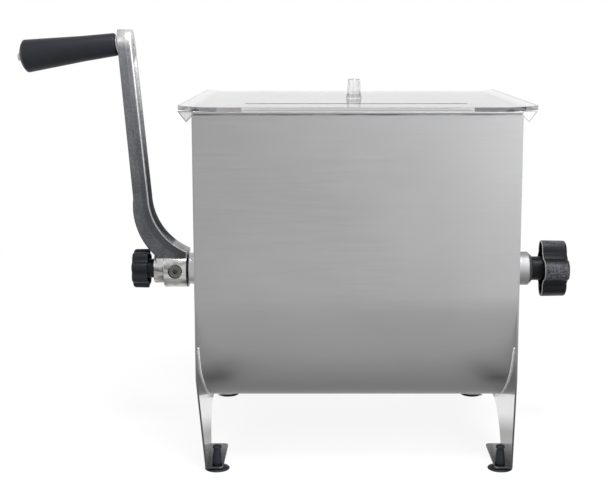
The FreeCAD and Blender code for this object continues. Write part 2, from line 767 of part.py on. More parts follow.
def star_screws():
    """The crank's clamping knob and the locking knob, each with its own stud."""
    slack = d.running_gap * 2
    sunk = d.crank_knob_neck_length + d.crank_knob_length * d.knob_hollow_share - d.slip_gap
    stud = bar("crank_stud", d.crank_stud_diameter, d.crank_stud_reach + sunk)
    keep(stud, "crank_knob_stud", -(crank_knob_start + sunk), NIL, d.axis_height)
    knob = star_head("crank_knob", crank_knob_start + d.slip_gap, d.crank_knob_neck_length,
                     d.crank_knob_length, d.crank_knob_dome, d.crank_knob_neck_diameter,
                     d.crank_knob_diameter,
                     (d.crank_knob_lobes, d.crank_knob_lobe_diameter, d.crank_knob_waist),
                     d.crank_stud_diameter + slack, -1)
    keep(knob, "crank_knob", NIL, NIL, d.axis_height)
    tip_start = inner_half - d.lock_tip_length
    sunk = d.lock_knob_neck_length + d.lock_knob_length * d.knob_hollow_share - d.slip_gap
    lock_end = lock_knob_start + sunk
    lock_stud = turned("lock_stud", [
        (tip_start, NIL), (tip_start, d.lock_tip_diameter / 2), (inner_half, d.lock_tip_diameter / 2),
        (inner_half, d.lock_stud_diameter / 2), (lock_end, d.lock_stud_diameter / 2), (lock_end, NIL),
    ])
    keep(lock_stud, "lock_knob_stud", NIL, NIL, d.axis_height)
    lock = star_head("lock_knob", lock_knob_start, d.lock_knob_neck_length, d.lock_knob_length,
                     d.lock_knob_dome, d.lock_knob_neck_diameter, d.lock_knob_diameter,
                     (d.lock_knob_lobes, d.lock_knob_lobe_diameter, d.lock_knob_waist),
                     d.lock_stud_diameter + slack, 1)
    keep(lock, "lock_knob", NIL, NIL, d.axis_height)


def paddle():
    """The lift-out paddle: a shaft slotted for the tongue, with rods that carry pitched blades."""
    left, right = -(coupling_end - d.drive_gap), inner_half - d.slip_gap * 2
    bore = d.lock_tip_diameter + d.running_gap * 2
    depth = d.lock_tip_length
    shaft = turned("paddle_shaft", [
        (left, NIL), (left, d.coupling_diameter / 2), (left + d.coupling_length, d.coupling_diameter / 2),
        (left + d.coupling_length, d.paddle_shaft_diameter / 2), (right, d.paddle_shaft_diameter / 2),
        (right, bore / 2), (right - depth, bore / 2), (right - depth, NIL),
    ])
    slot_width = d.tongue_width + d.drive_gap * 2
    slot = block("paddle_slot", d.tongue_length + d.drive_gap, slot_width, d.coupling_diameter)
    place(slot, -coupling_end, -slot_width / 2, -d.coupling_diameter / 2)
    keep(minus("paddle_shaft_cut", shaft, slot), "paddle_shaft", NIL, NIL, d.axis_height)

    rod_start = left + d.coupling_length + d.blade_width / 2
    rod_step = (right - depth - d.blade_width / 2 - rod_start) / (PADDLE_BLADES - 1)
    for index in range(PADDLE_BLADES):
        paddle_blade(index, rod_start + rod_step * index)


def paddle_blade(index, x):
    """One rod on the paddle's shaft with its pitched blade, trimmed to the trough's round."""
    turned_by = 360 / PADDLE_BLADES * index
    rod = bar("paddle_rod", d.paddle_rod_diameter, d.paddle_rod_reach, "Z")
    shaft_core = bar("rod_root", d.paddle_shaft_diameter, d.paddle_rod_diameter * 2)
    place(shaft_core, -d.paddle_rod_diameter)
    around(minus("paddle_arm", rod, shaft_core), "paddle_arm_%d" % (index + 1), x, turned_by)
    sweep = half_width - d.trough_sheet - d.paddle_sweep_gap
    long, thick = d.blade_width / 2, d.blade_thickness / 2
    plate = extruded("blade", "XY_Plane", [
        (-long, -thick), (long, -thick), (long, thick), (-long, thick),
    ], sweep - d.paddle_rod_reach, False, d.paddle_rod_reach)
    turn_by(plate, (0, 0, 1), d.blade_angle if index % 2 else -d.blade_angle)
    trimmed = shared("blade_trimmed", plate, sweep_drum(sweep))
    around(trimmed, "paddle_blade_%d" % (index + 1), x, turned_by)


def sweep_drum(radius):
    """The round space that the paddle sweeps."""
    drum = bar("sweep_drum", radius * 2, d.tub_length)
    place(drum, -half_length)
    return drum


def around(item, node, x, degrees):
    """Turns a piece about the crank axis and sets it at x along the shaft."""
    turn(item, (1, 0, 0), degrees)
    keep(item, node, x, NIL, d.axis_height)


def lid():
    """The loose clear lid with upturned ends, two locating bars beneath and a tapered knob on top."""
    half, low = half_length + d.lid_overhang_x, d.rim_height
    span, rise, thick = d.lid_end_span, d.lid_end_rise, d.lid_thickness
    flat, high = half - span, low + thick
    bend = (span * span + rise * rise) / (rise * 2)
    plate = extruded("lid", "XZ_Plane", [
        (-flat, low, bend), (flat, low), (half, low + rise, bend), (half, high + rise),
        (flat, high, -bend), (-flat, high), (-half, high + rise, -bend), (-half, low + rise),
    ], d.lid_depth)
    keep(plate, "lid_plate")
    inside = half_width - d.trough_sheet - d.lid_bar_gap
    for end, node in ((-1, "lid_front_bar"), (1, "lid_rear_bar")):
        strip = block(node, d.lid_bar_length, d.lid_bar_width, d.lid_bar_height)
        strip_y = end * (inside - d.lid_bar_width / 2) - d.lid_bar_width / 2
        keep(strip, node, -d.lid_bar_length / 2, strip_y, low - d.lid_bar_height)
    base, top, height = d.lid_knob_base_diameter / 2, d.lid_knob_top_diameter / 2, d.lid_knob_height
    edge = d.lid_knob_round
    knob = turned("lid_knob", [
        (NIL, NIL), (base, NIL), (top, height - edge), (top - edge, height, edge), (NIL, height),
    ], "V_Axis")
    keep(knob, "lid_knob", NIL, NIL, high)


left_hole = d.shaft_diameter + d.bush_wall * 2
right_hole = d.lock_boss_diameter - d.lock_boss_bevel * 2
left_front, left_rear, left_space = end_plate(
    "left_end_plate", -1, d.front_left_inset, d.rear_left_inset, left_hole)
right_front, right_rear, right_space = end_plate(
    "right_end_plate", 1, d.front_right_inset, d.rear_right_inset, right_hole)
trough_shell([left_space, right_space])
rubber_foot("front_left_foot", left_front + d.foot_offset_x, front_foot_y)
rubber_foot("rear_left_foot", left_rear + d.foot_offset_x, rear_foot_y)
rubber_foot("front_right_foot", right_front - d.foot_offset_x, front_foot_y)
rubber_foot("rear_right_foot", right_rear - d.foot_offset_x, rear_foot_y)
bearings()
crank_arm()
set_screw()
drive_shaft()
grip_pieces()
star_screws()
paddle()
lid()
doc.recompute()

for item in doc.Objects:
    if "Invalid" in item.State or "Error" in item.State:
        raise RuntimeError("%s did not build: %s" % (item.Label, item.State))
for item in parts:
    if item.Shape.isNull() or not item.Shape.isValid():
        raise RuntimeError(item.Label + " has no sound shape")

os.makedirs("parts", exist_ok=True)
for item in parts:
    item.Shape.exportStep("parts/%s.step" % item.Label)
    print("%-20s solids %d volume %.1f" % (item.Label, len(item.Shape.Solids), item.Shape.Volume))
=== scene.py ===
# %% [markdown]
# A hand-cranked meat mixer: a steel trough on four legs, a clear lid, a cast crank and two black star
# knobs. The CAD model gives every place and size. This script gives its solids their finishes, and stands
# finer pieces in for those that need more.

# %% Load the frame
import json
import math

import bmesh
import bpy
from mathutils import Matrix, Vector


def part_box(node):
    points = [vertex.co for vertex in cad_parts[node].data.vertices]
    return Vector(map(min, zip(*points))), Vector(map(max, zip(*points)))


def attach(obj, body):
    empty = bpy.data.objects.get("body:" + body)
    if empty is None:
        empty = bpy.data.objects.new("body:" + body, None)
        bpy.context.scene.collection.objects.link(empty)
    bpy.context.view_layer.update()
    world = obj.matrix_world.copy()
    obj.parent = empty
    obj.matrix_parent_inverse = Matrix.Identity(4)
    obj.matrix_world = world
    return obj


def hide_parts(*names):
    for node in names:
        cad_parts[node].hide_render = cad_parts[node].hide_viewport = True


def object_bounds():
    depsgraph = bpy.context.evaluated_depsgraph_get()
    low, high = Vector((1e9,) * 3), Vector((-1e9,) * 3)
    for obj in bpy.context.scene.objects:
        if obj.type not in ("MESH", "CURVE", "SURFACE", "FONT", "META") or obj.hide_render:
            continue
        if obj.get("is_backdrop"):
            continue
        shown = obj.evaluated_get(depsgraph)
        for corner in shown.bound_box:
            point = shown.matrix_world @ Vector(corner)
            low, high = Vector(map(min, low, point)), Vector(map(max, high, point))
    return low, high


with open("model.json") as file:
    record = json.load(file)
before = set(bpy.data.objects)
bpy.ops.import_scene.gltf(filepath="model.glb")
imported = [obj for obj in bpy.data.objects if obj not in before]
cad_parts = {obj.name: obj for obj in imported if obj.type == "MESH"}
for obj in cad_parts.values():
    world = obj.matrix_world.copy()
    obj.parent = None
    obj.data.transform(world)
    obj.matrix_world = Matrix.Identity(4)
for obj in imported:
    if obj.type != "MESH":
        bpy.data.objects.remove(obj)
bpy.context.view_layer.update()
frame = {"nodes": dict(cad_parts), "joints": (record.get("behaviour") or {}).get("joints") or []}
MM = 0.001

# %% [markdown]
# The camera stands a metre in front of the tub and a little above its lid, tipped down by eight degrees. It
# was solved from the photograph's lid corners, rim and feet, so it is set as plain numbers. A lens shift
# does the rest of the framing.

# %% Camera
scene = bpy.context.scene


def placed(data):
    """A new object in the scene, with this camera, lamp or mesh."""
    item = bpy.data.objects.new(data.name, data)
    scene.collection.objects.link(item)
    return item


optics = bpy.data.cameras.new("camera")
optics.lens = 69.27
optics.sensor_width = 36.0
optics.shift_x = -0.0275
optics.shift_y = -0.082
camera = placed(optics)
camera.location = (0.02374, -1.0598, 0.3696)
camera.rotation_euler = (math.radians(81.7), 0, 0)
scene.camera = camera
scene.view_settings.view_transform = "Standard"
print("camera at", [round(v, 4) for v in camera.location])

# %% [markdown]
# A finish is a small network of nodes. Wiring each one by hand is long, so a value in it is wrapped in a
# class whose plus, minus and times add the Math nodes. A comparison gives a mask of 0 and 1, and the
# upright bar takes the larger of two values, which joins two masks.

# %% Values as wires
def by(operation):
    """A method that adds one Math node."""
    return lambda wire, other=0.0: wire.maths(operation, other)


class Wire:
    """An output socket of a node tree; sums and comparisons on it add Math nodes."""

    def __init__(self, tree, socket):
        self.tree = tree
        self.socket = socket

    def maths(self, operation, other=0.0):
        return add(self.tree, "ShaderNodeMath", {"operation": operation}, {0: self, 1: other})

    def __rsub__(self, other):
        return add(self.tree, "ShaderNodeMath", {"operation": "SUBTRACT"}, {0: other, 1: self})

    __add__ = __radd__ = by("ADD")
    __sub__ = by("SUBTRACT")
    __mul__ = __rmul__ = by("MULTIPLY")
    __truediv__ = by("DIVIDE")
    __pow__ = by("POWER")
    __gt__ = by("GREATER_THAN")
    __lt__ = by("LESS_THAN")
    __or__ = by("MAXIMUM")
    __abs__ = by("ABSOLUTE")


def add(tree, kind, settings=None, sockets=None, out=0):
    """Adds one node: its settings come first, then the values or links of its sockets."""
    node = tree.nodes.new(kind)
    for key, value in (settings or {}).items():
        setattr(node, key, value)
    for key, value in (sockets or {}).items():
        if isinstance(value, Wire):
            tree.links.new(value.socket, node.inputs[key])
        else:
            node.inputs[key].default_value = value
    return Wire(tree, node.outputs[out]) if len(node.outputs) else node


print("values and nodes are ready")

# %% [markdown]
# Most finishes use the same few nodes, so each of these gets a short function.

# %% Finish helpers
def mix_colour(share, first, second):
    """A colour between two others; a share of 0 gives the first."""
    def colour(value):
        return value if isinstance(value, Wire) else (*value, 1)
    sockets = {0: share, 6: colour(first), 7: colour(second)}
    return add(share.tree, "ShaderNodeMix", {"data_type": "RGBA"}, sockets, 2)


def grey(value):
    """A colour with this much red, green and blue."""
    return add(value.tree, "ShaderNodeCombineColor", None, {0: value, 1: value, 2: value})


def ramp(value, *stops):
    """A number, or a colour, read off a ramp of (place, shade) stops."""
    shade = add(value.tree, "ShaderNodeValToRGB", None, {0: value})
    elements = shade.socket.node.color_ramp.elements
    while len(elements) < len(stops):
        elements.new(0.5)
    for element, (at, tone) in zip(elements, stops):
        element.position = at
        element.color = (tone, tone, tone, 1) if isinstance(tone, float) else (*tone, 1)
    return shade


def speckle(tree, size, stretch=(1, 1, 1), detail=3.0, roughness=0.55):
    """Soft noise whose spots are about this size in metres, stretched along the axes."""
    place = add(tree, "ShaderNodeTexCoord", out="Object")
    scale = tuple(1 / (size * s) for s in stretch)
    place = add(tree, "ShaderNodeMapping", None, {"Vector": place, "Scale": scale})
    sockets = {"Vector": place, "Scale": 1.0, "Detail": detail, "Roughness": roughness}
    return add(tree, "ShaderNodeTexNoise", None, sockets, "Fac")


def axis_value(tree, letter):
    """How far along X, Y or Z a point of the piece lies, in metres."""
    place = add(tree, "ShaderNodeTexCoord", out="Object")
    return add(tree, "ShaderNodeSeparateXYZ", None, {0: place}, letter)


def bump(height, distance, strength):
    """A normal tilted by small heights; distance is the height in metres of a value of 1."""
    sockets = {"Strength": strength, "Distance": distance, "Height": height}
    return add(height.tree, "ShaderNodeBump", None, sockets)


def finish(name):
    """A new material and its empty tree."""
    material = bpy.data.materials.new(name)
    material.use_nodes = True
    material.node_tree.nodes.clear()
    return material, material.node_tree


def principled(tree, sockets):
    return add(tree, "ShaderNodeBsdfPrincipled", None, sockets)


def blend(share, first, second):
    """A shader between two others; a share of 0 gives the first."""
    return add(share.tree, "ShaderNodeMixShader", None, {0: share, 1: first, 2: second})


def close(shader):
    """Ends a finish in one shader."""
    add(shader.tree, "ShaderNodeOutputMaterial", None, {"Surface": shader})


def metal(colour, roughness, normal):
    """Ends a finish as bare metal."""
    close(principled(colour.tree, {"Base Color": colour, "Metallic": 1.0, "Roughness": roughness,
                                   "Normal": normal}))


print("finish helpers are ready")

# %% [markdown]
# The room is a white sweep. The world is white to the camera, to mirrors and through glass, and gives a
# softer, plain light to everything else.

# %% World
AMBIENT = 0.62
WHITE = (1, 1, 1, 1)


def ray(tree, kind):
    """1 for rays of one kind."""
    return add(tree, "ShaderNodeLightPath", out="Is %s Ray" % kind)


def seen_directly(tree):
    """1 for rays from the camera, from mirrors and through glass."""
    return ray(tree, "Camera") | ray(tree, "Glossy") | ray(tree, "Transmission")


world = bpy.data.worlds.new("studio")
world.use_nodes = True
scene.world = world
room = world.node_tree
room.nodes.clear()
soft = add(room, "ShaderNodeBackground", None, {"Color": WHITE, "Strength": AMBIENT})
plain = add(room, "ShaderNodeBackground", None, {"Color": WHITE, "Strength": 1.0})
add(room, "ShaderNodeOutputWorld", None, {"Surface": blend(seen_directly(room), soft, plain)})
print("white world with a plain light of", AMBIENT)

# %% [markdown]
# The floor is almost white in itself and still takes a faint shadow; further out it turns into the white of
# the world, so no horizon shows. Mirrors see a painted shadow on it, a darker strip under the front half of
# the object, so that the round of the trough has something dark to reflect.

# %% Floor
FLOOR_REACH = 6.0
floor_finish, tree = finish("pale_floor")
across, along = axis_value(tree, "X"), axis_value(tree, "Y")
far = (across * across + along * along) ** 0.5
blank = ramp(far, (0.35, 0.88), (1.0, 1.0))
# painted shadow: mirrors see the floor darker in a strip under the front of the object
in_front = ramp(0 - along, (0.03, 0.50), (0.15, 1.0))
behind = ramp(along * 20 + 0.2, (0.0, 0.0), (1.0, 1.0))
mirrored = in_front + behind * (1 - in_front)
from_mirror = ray(tree, "Glossy")
paper = grey(speckle(tree, 0.004) * 0.02 + 0.86)
matt = add(tree, "ShaderNodeBsdfDiffuse", None, {"Color": paper})
glare = grey(1 - from_mirror * (1 - mirrored))
glow = add(tree, "ShaderNodeEmission", None, {"Color": glare, "Strength": 1.0})
close(blend(seen_directly(tree) * (blank | from_mirror), matt, glow))

corners = [(x * FLOOR_REACH, y * FLOOR_REACH, 0) for x, y in ((-1, -1), (1, -1), (1, 1), (-1, 1))]
floor_mesh = bpy.data.meshes.new("floor")
floor_mesh.from_pydata(corners, [], [(0, 1, 2, 3)])
floor_mesh.materials.append(floor_finish)
floor = placed(floor_mesh)
floor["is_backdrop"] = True
print("floor reaches %.0f m each way" % FLOOR_REACH)

# %% [markdown]
# Four soft lamps stand round the object: a key lamp at the front right, a fill at the front left, one
# overhead and a weak one low in front. Large lamps give steel soft highlights.

# %% Lamps
def lamp(name, place, target, size, watts):
    """A soft lamp of this width and height, which looks at a point."""
    light = bpy.data.lights.new(name, "AREA")
    light.shape = "RECTANGLE"
    light.size, light.size_y = size
    light.energy = watts
    item = placed(light)
    item.location = place
    item.rotation_euler = (Vector(target) - Vector(place)).to_track_quat("-Z", "Y").to_euler()
    print("%s of %.1f W" % (name, watts))


lamp("key_lamp", (0.9, -1.3, 1.3), (0.05, 0, 0.15), (0.9, 0.9), 16)
lamp("fill_lamp", (-1.3, -0.9, 0.8), (0.0, 0, 0.2), (0.8, 1.0), 6)
lamp("top_lamp", (0.15, -0.45, 1.5), (0.05, 0, 0.2), (0.5, 0.4), 20)
lamp("low_lamp", (0.65, -1.3, 0.25), (0.1, 0, 0.2), (0.5, 0.6), 3.6)

# %% [markdown]
# Places that many pieces share are read from the CAD nodes, so the pieces follow the model.

# %% Shared places
def middle(node):
    low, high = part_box(node)
    return (low + high) / 2


TUB_X = middle("lid_knob").x
AXIS_Z = middle("right_bearing_boss").z
print("tub middle at x = %.4f m, crank axis at z = %.4f m" % (TUB_X, AXIS_Z))

# %% [markdown]
# Steel has several looks here. The trough is satin: a fine brush ran along it, so its gloss is soft and
# streaked along X. Turned steel has rings round its axis, so its streaks are short along X and long across
# it. All are full metals; only the gloss and the tone change.

# %% Steel finishes
def steel(name, tone, rough, streak, grain=0.00004, painted_shade=None):
    """Brushed steel. Tone and rough are (low, high), streak is the size of a brush mark along X, Y and Z in
    metres, grain its depth, and the last argument gives the share of painted shade at each place."""
    material, tree = finish(name)
    brush = speckle(tree, 1.0, streak, 2.0)
    clouds = speckle(tree, 0.09, detail=2.0)
    dark = [tone[0] * tint for tint in (1, 1, 1.01)]
    pale = [tone[1] * tint for tint in (1, 1, 1.015)]
    colour = mix_colour(clouds, dark, pale)
    # painted shade: a dark colour mixed in where the last argument asks for it
    if painted_shade:
        colour = mix_colour(painted_shade(tree), colour, (0.06, 0.058, 0.055))
    roughness = ramp(brush, (0.3, rough[0]), (0.7, rough[1])) + (clouds - 0.5) * 0.06
    metal(colour, roughness, bump(brush, grain, 0.35))
    return material


def dress(material, *nodes):
    """Gives CAD nodes a finish."""
    for node in nodes:
        mesh = frame["nodes"][node].data
        mesh.materials.clear()
        mesh.materials.append(material)
    print("%s on %s" % (material.name, ", ".join(nodes)))


turned_steel = steel("turned_steel", (0.36, 0.50), (0.24, 0.38), (0.0007, 0.03, 0.03), 0.00003)
blade_steel = steel("blade_steel", (0.44, 0.54), (0.24, 0.38), (0.0009, 0.02, 0.02))
dress(turned_steel, "left_bearing_boss", "left_bush", "drive_shaft", "grip_axle", "grip_washer",
      "paddle_shaft", *["paddle_arm_%d" % n for n in range(1, 5)])
dress(blade_steel, *["paddle_blade_%d" % n for n in range(1, 5)])

# %% [markdown]
# The lid is clear acrylic sheet. Its sawn front edge is mostly opaque and painted with reflections: light
# and dark bands along the front bar, darker out past it. The faces of the bars that look to the middle are
# painted dark as shade, and a painted dark strip on top of the sheet draws the dark line that runs along the
# bar. Each is a mask, found from where a point lies.

# %% Marks on the lid
clear_acrylic, tree = finish("clear_acrylic")
LID_LOW, LID_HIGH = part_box("lid_plate")
BAR_LOW, BAR_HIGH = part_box("lid_front_bar")
LID_THICK = 3.6 * MM
SKIN = 0.05 * MM
STRIP_WIDTH = 7 * MM
TUB_HALF = 134 * MM
PALE_HALF = 113 * MM
from_middle = axis_value(tree, "X") - TUB_X
aside = abs(from_middle)
depth, height = axis_value(tree, "Y"), axis_value(tree, "Z")
front_edge = depth < LID_LOW.y + SKIN
past_bar = aside > (BAR_HIGH.x - BAR_LOW.x) / 2
off_bar = abs(abs(depth) + BAR_HIGH.y)
# painted shade: the bars' back faces, and a dark strip on top of the sheet along the front bar
bar_back = (off_bar < SKIN) * (height < LID_LOW.z - 0.01 * MM)
strip = (depth > BAR_HIGH.y - STRIP_WIDTH) * (depth < BAR_HIGH.y)
strip = strip * (height > LID_LOW.z + LID_THICK - SKIN) * (1 - past_bar)
print("lid edge %.1f mm thick, shaded strip %.0f mm wide" % (LID_THICK / MM, STRIP_WIDTH / MM))

# %% [markdown]
# Clear plastic is mostly what lies behind it, so it needs glass-like transmission with the acrylic's own
# bending of light, and only faint scuffs in its gloss. The marks are mixed in as a second, dull shader.
# Lamps shine straight through the lid, so the inside of the tub is lit.

# %% Clear acrylic
# painted reflection: bands through the front edge's thickness, and darker and paler parts past the bar
painted_edge_bands = ramp((height - LID_LOW.z) / LID_THICK, (0.0, 0.32), (0.24, 0.34), (0.32, 0.15), (0.42, 0.36),
              (0.78, 0.38), (0.88, 0.16), (1.0, 0.30))
pale_reflection_part = (from_middle < 0.0) * (aside < PALE_HALF)
painted_edge_reflection = mix_colour(pale_reflection_part, (0.065, 0.06, 0.07), (0.14, 0.132, 0.138))
painted_edge_reflection = mix_colour(aside > TUB_HALF, painted_edge_reflection, (0.20, 0.20, 0.20))
edge_tone = mix_colour(past_bar, painted_edge_bands, painted_edge_reflection)
edge_tone = mix_colour(bar_back | strip, edge_tone, (0.02, 0.02, 0.02))
edge = principled(tree, {"Base Color": edge_tone, "Roughness": 0.3, "Specular IOR Level": 0.0})

on_knob = height > LID_LOW.z + 2 * LID_THICK
tint = mix_colour(speckle(tree, 0.05), (0.76, 0.765, 0.77), (0.82, 0.825, 0.83))
tint = mix_colour(on_knob, tint, (0.96, 0.96, 0.965))
scuffs = ramp(speckle(tree, 0.006, (3, 1, 1)), (0.55, 0.005), (0.85, 0.03))
glass = principled(tree, {"Base Color": tint, "Roughness": scuffs, "IOR": 1.49, "Transmission Weight": 1.0})
thin = add(tree, "ShaderNodeBsdfTransparent", None, {"Color": (0.97, 0.97, 0.97, 1)})
opaque = bar_back | front_edge * 0.8 | strip * 0.75
solid = blend(opaque, blend(on_knob * 0.55, glass, thin), edge)
let_through = add(tree, "ShaderNodeBsdfTransparent", None, {"Color": (0.85, 0.85, 0.86, 1)})
close(blend(ray(tree, "Shadow"), solid, let_through))
print(clear_acrylic.name, "has", len(tree.nodes), "nodes")

# %% [markdown]
# Black plastic is a moulding: dark, half-matt, with the fine grain of its mould. The grip is smooth, and
# rubber is duller still. The pale seal and the blackened screw are made with the same function.

# %% Plastic and rubber
def moulded(name, tone, rough, grain_size, grain_depth, shine=0.5):
    """A moulding: tone is its colour, rough (low, high), shine how much of the light its skin mirrors."""
    material, tree = finish(name)
    grain = speckle(tree, grain_size, detail=4.0, roughness=0.6)
    dust = speckle(tree, 0.02)
    colour = mix_colour(dust, [t * 0.65 for t in tone], [t * 1.4 for t in tone])
    roughness = ramp(grain, (0.3, rough[0]), (0.7, rough[1]))
    close(principled(tree, {"Base Color": colour, "Roughness": roughness, "Specular IOR Level": shine,
                            "Normal": bump(grain, grain_depth, 0.6)}))
    return material


grip_plastic = moulded("smooth_black_plastic", (0.008, 0.0095, 0.013), (0.38, 0.50), 0.0022, 0.00006, 0.17)
foot_rubber = moulded("black_rubber", (0.007, 0.009, 0.014), (0.48, 0.62), 0.0009, 0.00006, 0.22)
pale_seal = moulded("pale_seal", (0.80, 0.80, 0.78), (0.35, 0.5), 0.0015, 0.00004)
screw_black = moulded("blackened_steel", (0.075, 0.072, 0.065), (0.35, 0.55), 0.0008, 0.0002)
dress(pale_seal, "left_shaft_seal")
dress(screw_black, "hub_set_screw")

# %% [markdown]
# The locking knob's grain is coarse. The specks on the crests of its lobes are painted pale, a painted
# highlight, and the thin rim at its back is painted grey, another painted highlight. How far a point is
# from the axis tells a lobe from a hollow.

# %% Pebbled knob plastic
LOCK_NECK = 8.6
RIM_HIGHLIGHT_WIDTH = 0.6 * MM
knob_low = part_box("lock_knob")[0]
knob_plastic, tree = finish("pebbled_black_plastic")
grain = speckle(tree, 0.0009, detail=4.0, roughness=0.6)
across, upward = axis_value(tree, "Y"), axis_value(tree, "Z") - AXIS_Z
radius = (across * across + upward * upward) ** 0.5 / -knob_low.y
# painted highlight: pale specks on the crests of the lobes
painted_crest_highlight = ramp(radius, (0.86, 0.0), (0.97, 1.0)) * ramp(grain, (0.40, 0.0), (0.70, 1.0))
off_back = abs(axis_value(tree, "X") - (knob_low.x + LOCK_NECK * MM))
# painted highlight: a thin grey line on the back rim
bare = (off_back < RIM_HIGHLIGHT_WIDTH) * (radius > 0.5)
colour = mix_colour(painted_crest_highlight, (0.0035, 0.004, 0.0055), (0.13, 0.13, 0.148))
colour = mix_colour(bare, colour, (0.24, 0.24, 0.24))
rough = ramp(grain, (0.3, 0.30), (0.7, 0.44))
close(principled(tree, {"Base Color": colour, "Roughness": rough, "Specular IOR Level": 0.12,
                        "Normal": bump(grain, 0.0003, 0.6)}))
print(knob_plastic.name, "has", len(tree.nodes), "nodes")

# %% [markdown]
# Every piece that stands in for a solid is rings of points, joined one to the next. The mesh is then
# closed, its faces are turned outwards and smoothed, and it hangs on the body of the solid.

# %% Mesh helpers
def joined_rings(rings, closed=True):
    """Faces between one ring of points and the next; a ring of one point is a pole."""
    faces = []
    for first, second in zip(rings, rings[1:]):
        count = max(len(first), len(second))
        if count == 1:
            continue
        for here in range(count if closed else count - 1):
            after = (here + 1) % count
            corners = [first[here % len(first)], first[after % len(first)],
                       second[after % len(second)], second[here % len(second)]]
            faces.append(tuple(dict.fromkeys(corners)))
    return faces


def made_mesh(name, vertices, faces, smooth_to=38, bands=None):
    """A closed mesh with its faces outwards, smooth but for edges sharper than an angle in degrees. Bands
    are numbers on its points for a finish to read."""
    mesh = bpy.data.meshes.new(name)
    mesh.from_pydata([tuple(v) for v in vertices], [], faces)
    if bands:
        mesh.attributes.new("band", "FLOAT", "POINT").data.foreach_set("value", bands)
    work = bmesh.new()
    work.from_mesh(mesh)
    bmesh.ops.remove_doubles(work, verts=work.verts, dist=1e-6)
    bmesh.ops.recalc_face_normals(work, faces=work.faces)
    for face in work.faces:
        face.smooth = True
    work.to_mesh(mesh)
    work.free()
    mesh.set_sharp_from_angle(angle=math.radians(smooth_to))
    return mesh


def hang(mesh, material, body, slot, *nodes):
    """Shows a mesh as a piece of the object, riding on a body in place of CAD nodes."""
    mesh.materials.clear()
    mesh.materials.append(material)
    piece = placed(mesh)
    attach(piece, body)
    if nodes:
        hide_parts(*nodes)
    print("%s: %d faces" % (mesh.name, len(mesh.polygons)))


print("mesh helpers are ready")

# %% [markdown]
# The trough is one sheet bent into a U. Its ends follow the legs, which lean in a little below a bend, so
# they are found by the same slope that the CAD gives the legs.

# %% Trough places
LEG_BEND = 80 * MM
TAB_HEIGHT = 3 * MM
END_SHEET = 1.5 * MM
TROUGH_SHEET = 1.2 * MM
LEG_INSETS = {"left": (7.0 * MM, 0.3 * MM), "right": (2.2 * MM, 1.0 * MM)}
trough_low, trough_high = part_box("trough_shell")
HALF_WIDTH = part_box("right_end_plate")[1].y
INNER_HALF = (trough_high.x - trough_low.x) / 2
RIM_Z, FOOT_Z = trough_high.z, trough_low.z


def leg_inset(side, y, z):
    """How far an end plate has leaned inwards at a point below its bend."""
    front, rear = LEG_INSETS[side]
    share = max(0.0, (LEG_BEND - z) / (LEG_BEND - TAB_HEIGHT))
    return share * (front + (rear - front) * (y + HALF_WIDTH) / (2 * HALF_WIDTH))


def trough_ends(y, z):
    """Where the sheet meets the left and the right end plate."""
    return TUB_X - INNER_HALF + leg_inset("left", y, z), TUB_X + INNER_HALF - leg_inset("right", y, z)


def trough_outline(half, foot_z, walls=14, bends=96):
    """The U from the front rim round to the rear rim, as (y, z) in metres."""
    front = [(-half, RIM_Z + (AXIS_Z - RIM_Z) * n / walls) for n in range(walls)]
    turns = [math.pi * n / bends for n in range(bends + 1)]
    under = [(-half * math.cos(turn), AXIS_Z - (AXIS_Z - foot_z) * math.sin(turn)) for turn in turns]
    rear = [(-y, z) for y, z in reversed(front)]
    return front + under + rear


def ruled(outline, columns):
    """Points of an outline drawn out along X, one row to a column."""
    rows = []
    for column in range(columns + 1):
        for y, z in outline:
            left, right = trough_ends(y, z)
            rows.append(Vector((left + (right - left) * column / columns, y, z)))
    return rows


outer_line = trough_outline(HALF_WIDTH, FOOT_Z)
inner_line = trough_outline(HALF_WIDTH - TROUGH_SHEET, FOOT_Z + TROUGH_SHEET)
print("trough outline of %d points, %.1f mm wide" % (len(outer_line), 2 * HALF_WIDTH / MM))

# %% [markdown]
# The bent outline is walked point by point and drawn out along X. The rims are rolled outwards, and an
# uneven dark line of painted shadow is drawn in the crease below the roll.

# %% Trough sheet
COLUMNS = 10
HEM_REACH = trough_high.y - HALF_WIDTH
HEM_HEIGHT = 2.6 * MM
HEM_STEPS = 12
CREASE = 1.0 * MM


def hem_outline(side):
    """The rolled rim on one side: a flattened half round outside the sheet, closed inside it."""
    turns = [math.pi * n / HEM_STEPS for n in range(HEM_STEPS + 1)]
    outside = [(side * (HALF_WIDTH + HEM_REACH * math.sin(turn) ** 0.6),
                RIM_Z - HEM_HEIGHT / 2 + HEM_HEIGHT / 2 * math.cos(turn)) for turn in turns]
    inside = side * (HALF_WIDTH - TROUGH_SHEET / 2)
    return outside + [(inside, RIM_Z - HEM_HEIGHT), (inside, RIM_Z)]


def hem_shadow(tree):
    """The share of painted shadow in the crease below the rolled rim."""
    height = axis_value(tree, "Z")
    crease = (height > RIM_Z - HEM_HEIGHT - CREASE) * (1 - (height > RIM_Z - HEM_HEIGHT))
    return crease * ramp(speckle(tree, 0.012, (2, 1, 0.3)), (0.36, 0.15), (0.6, 0.8))


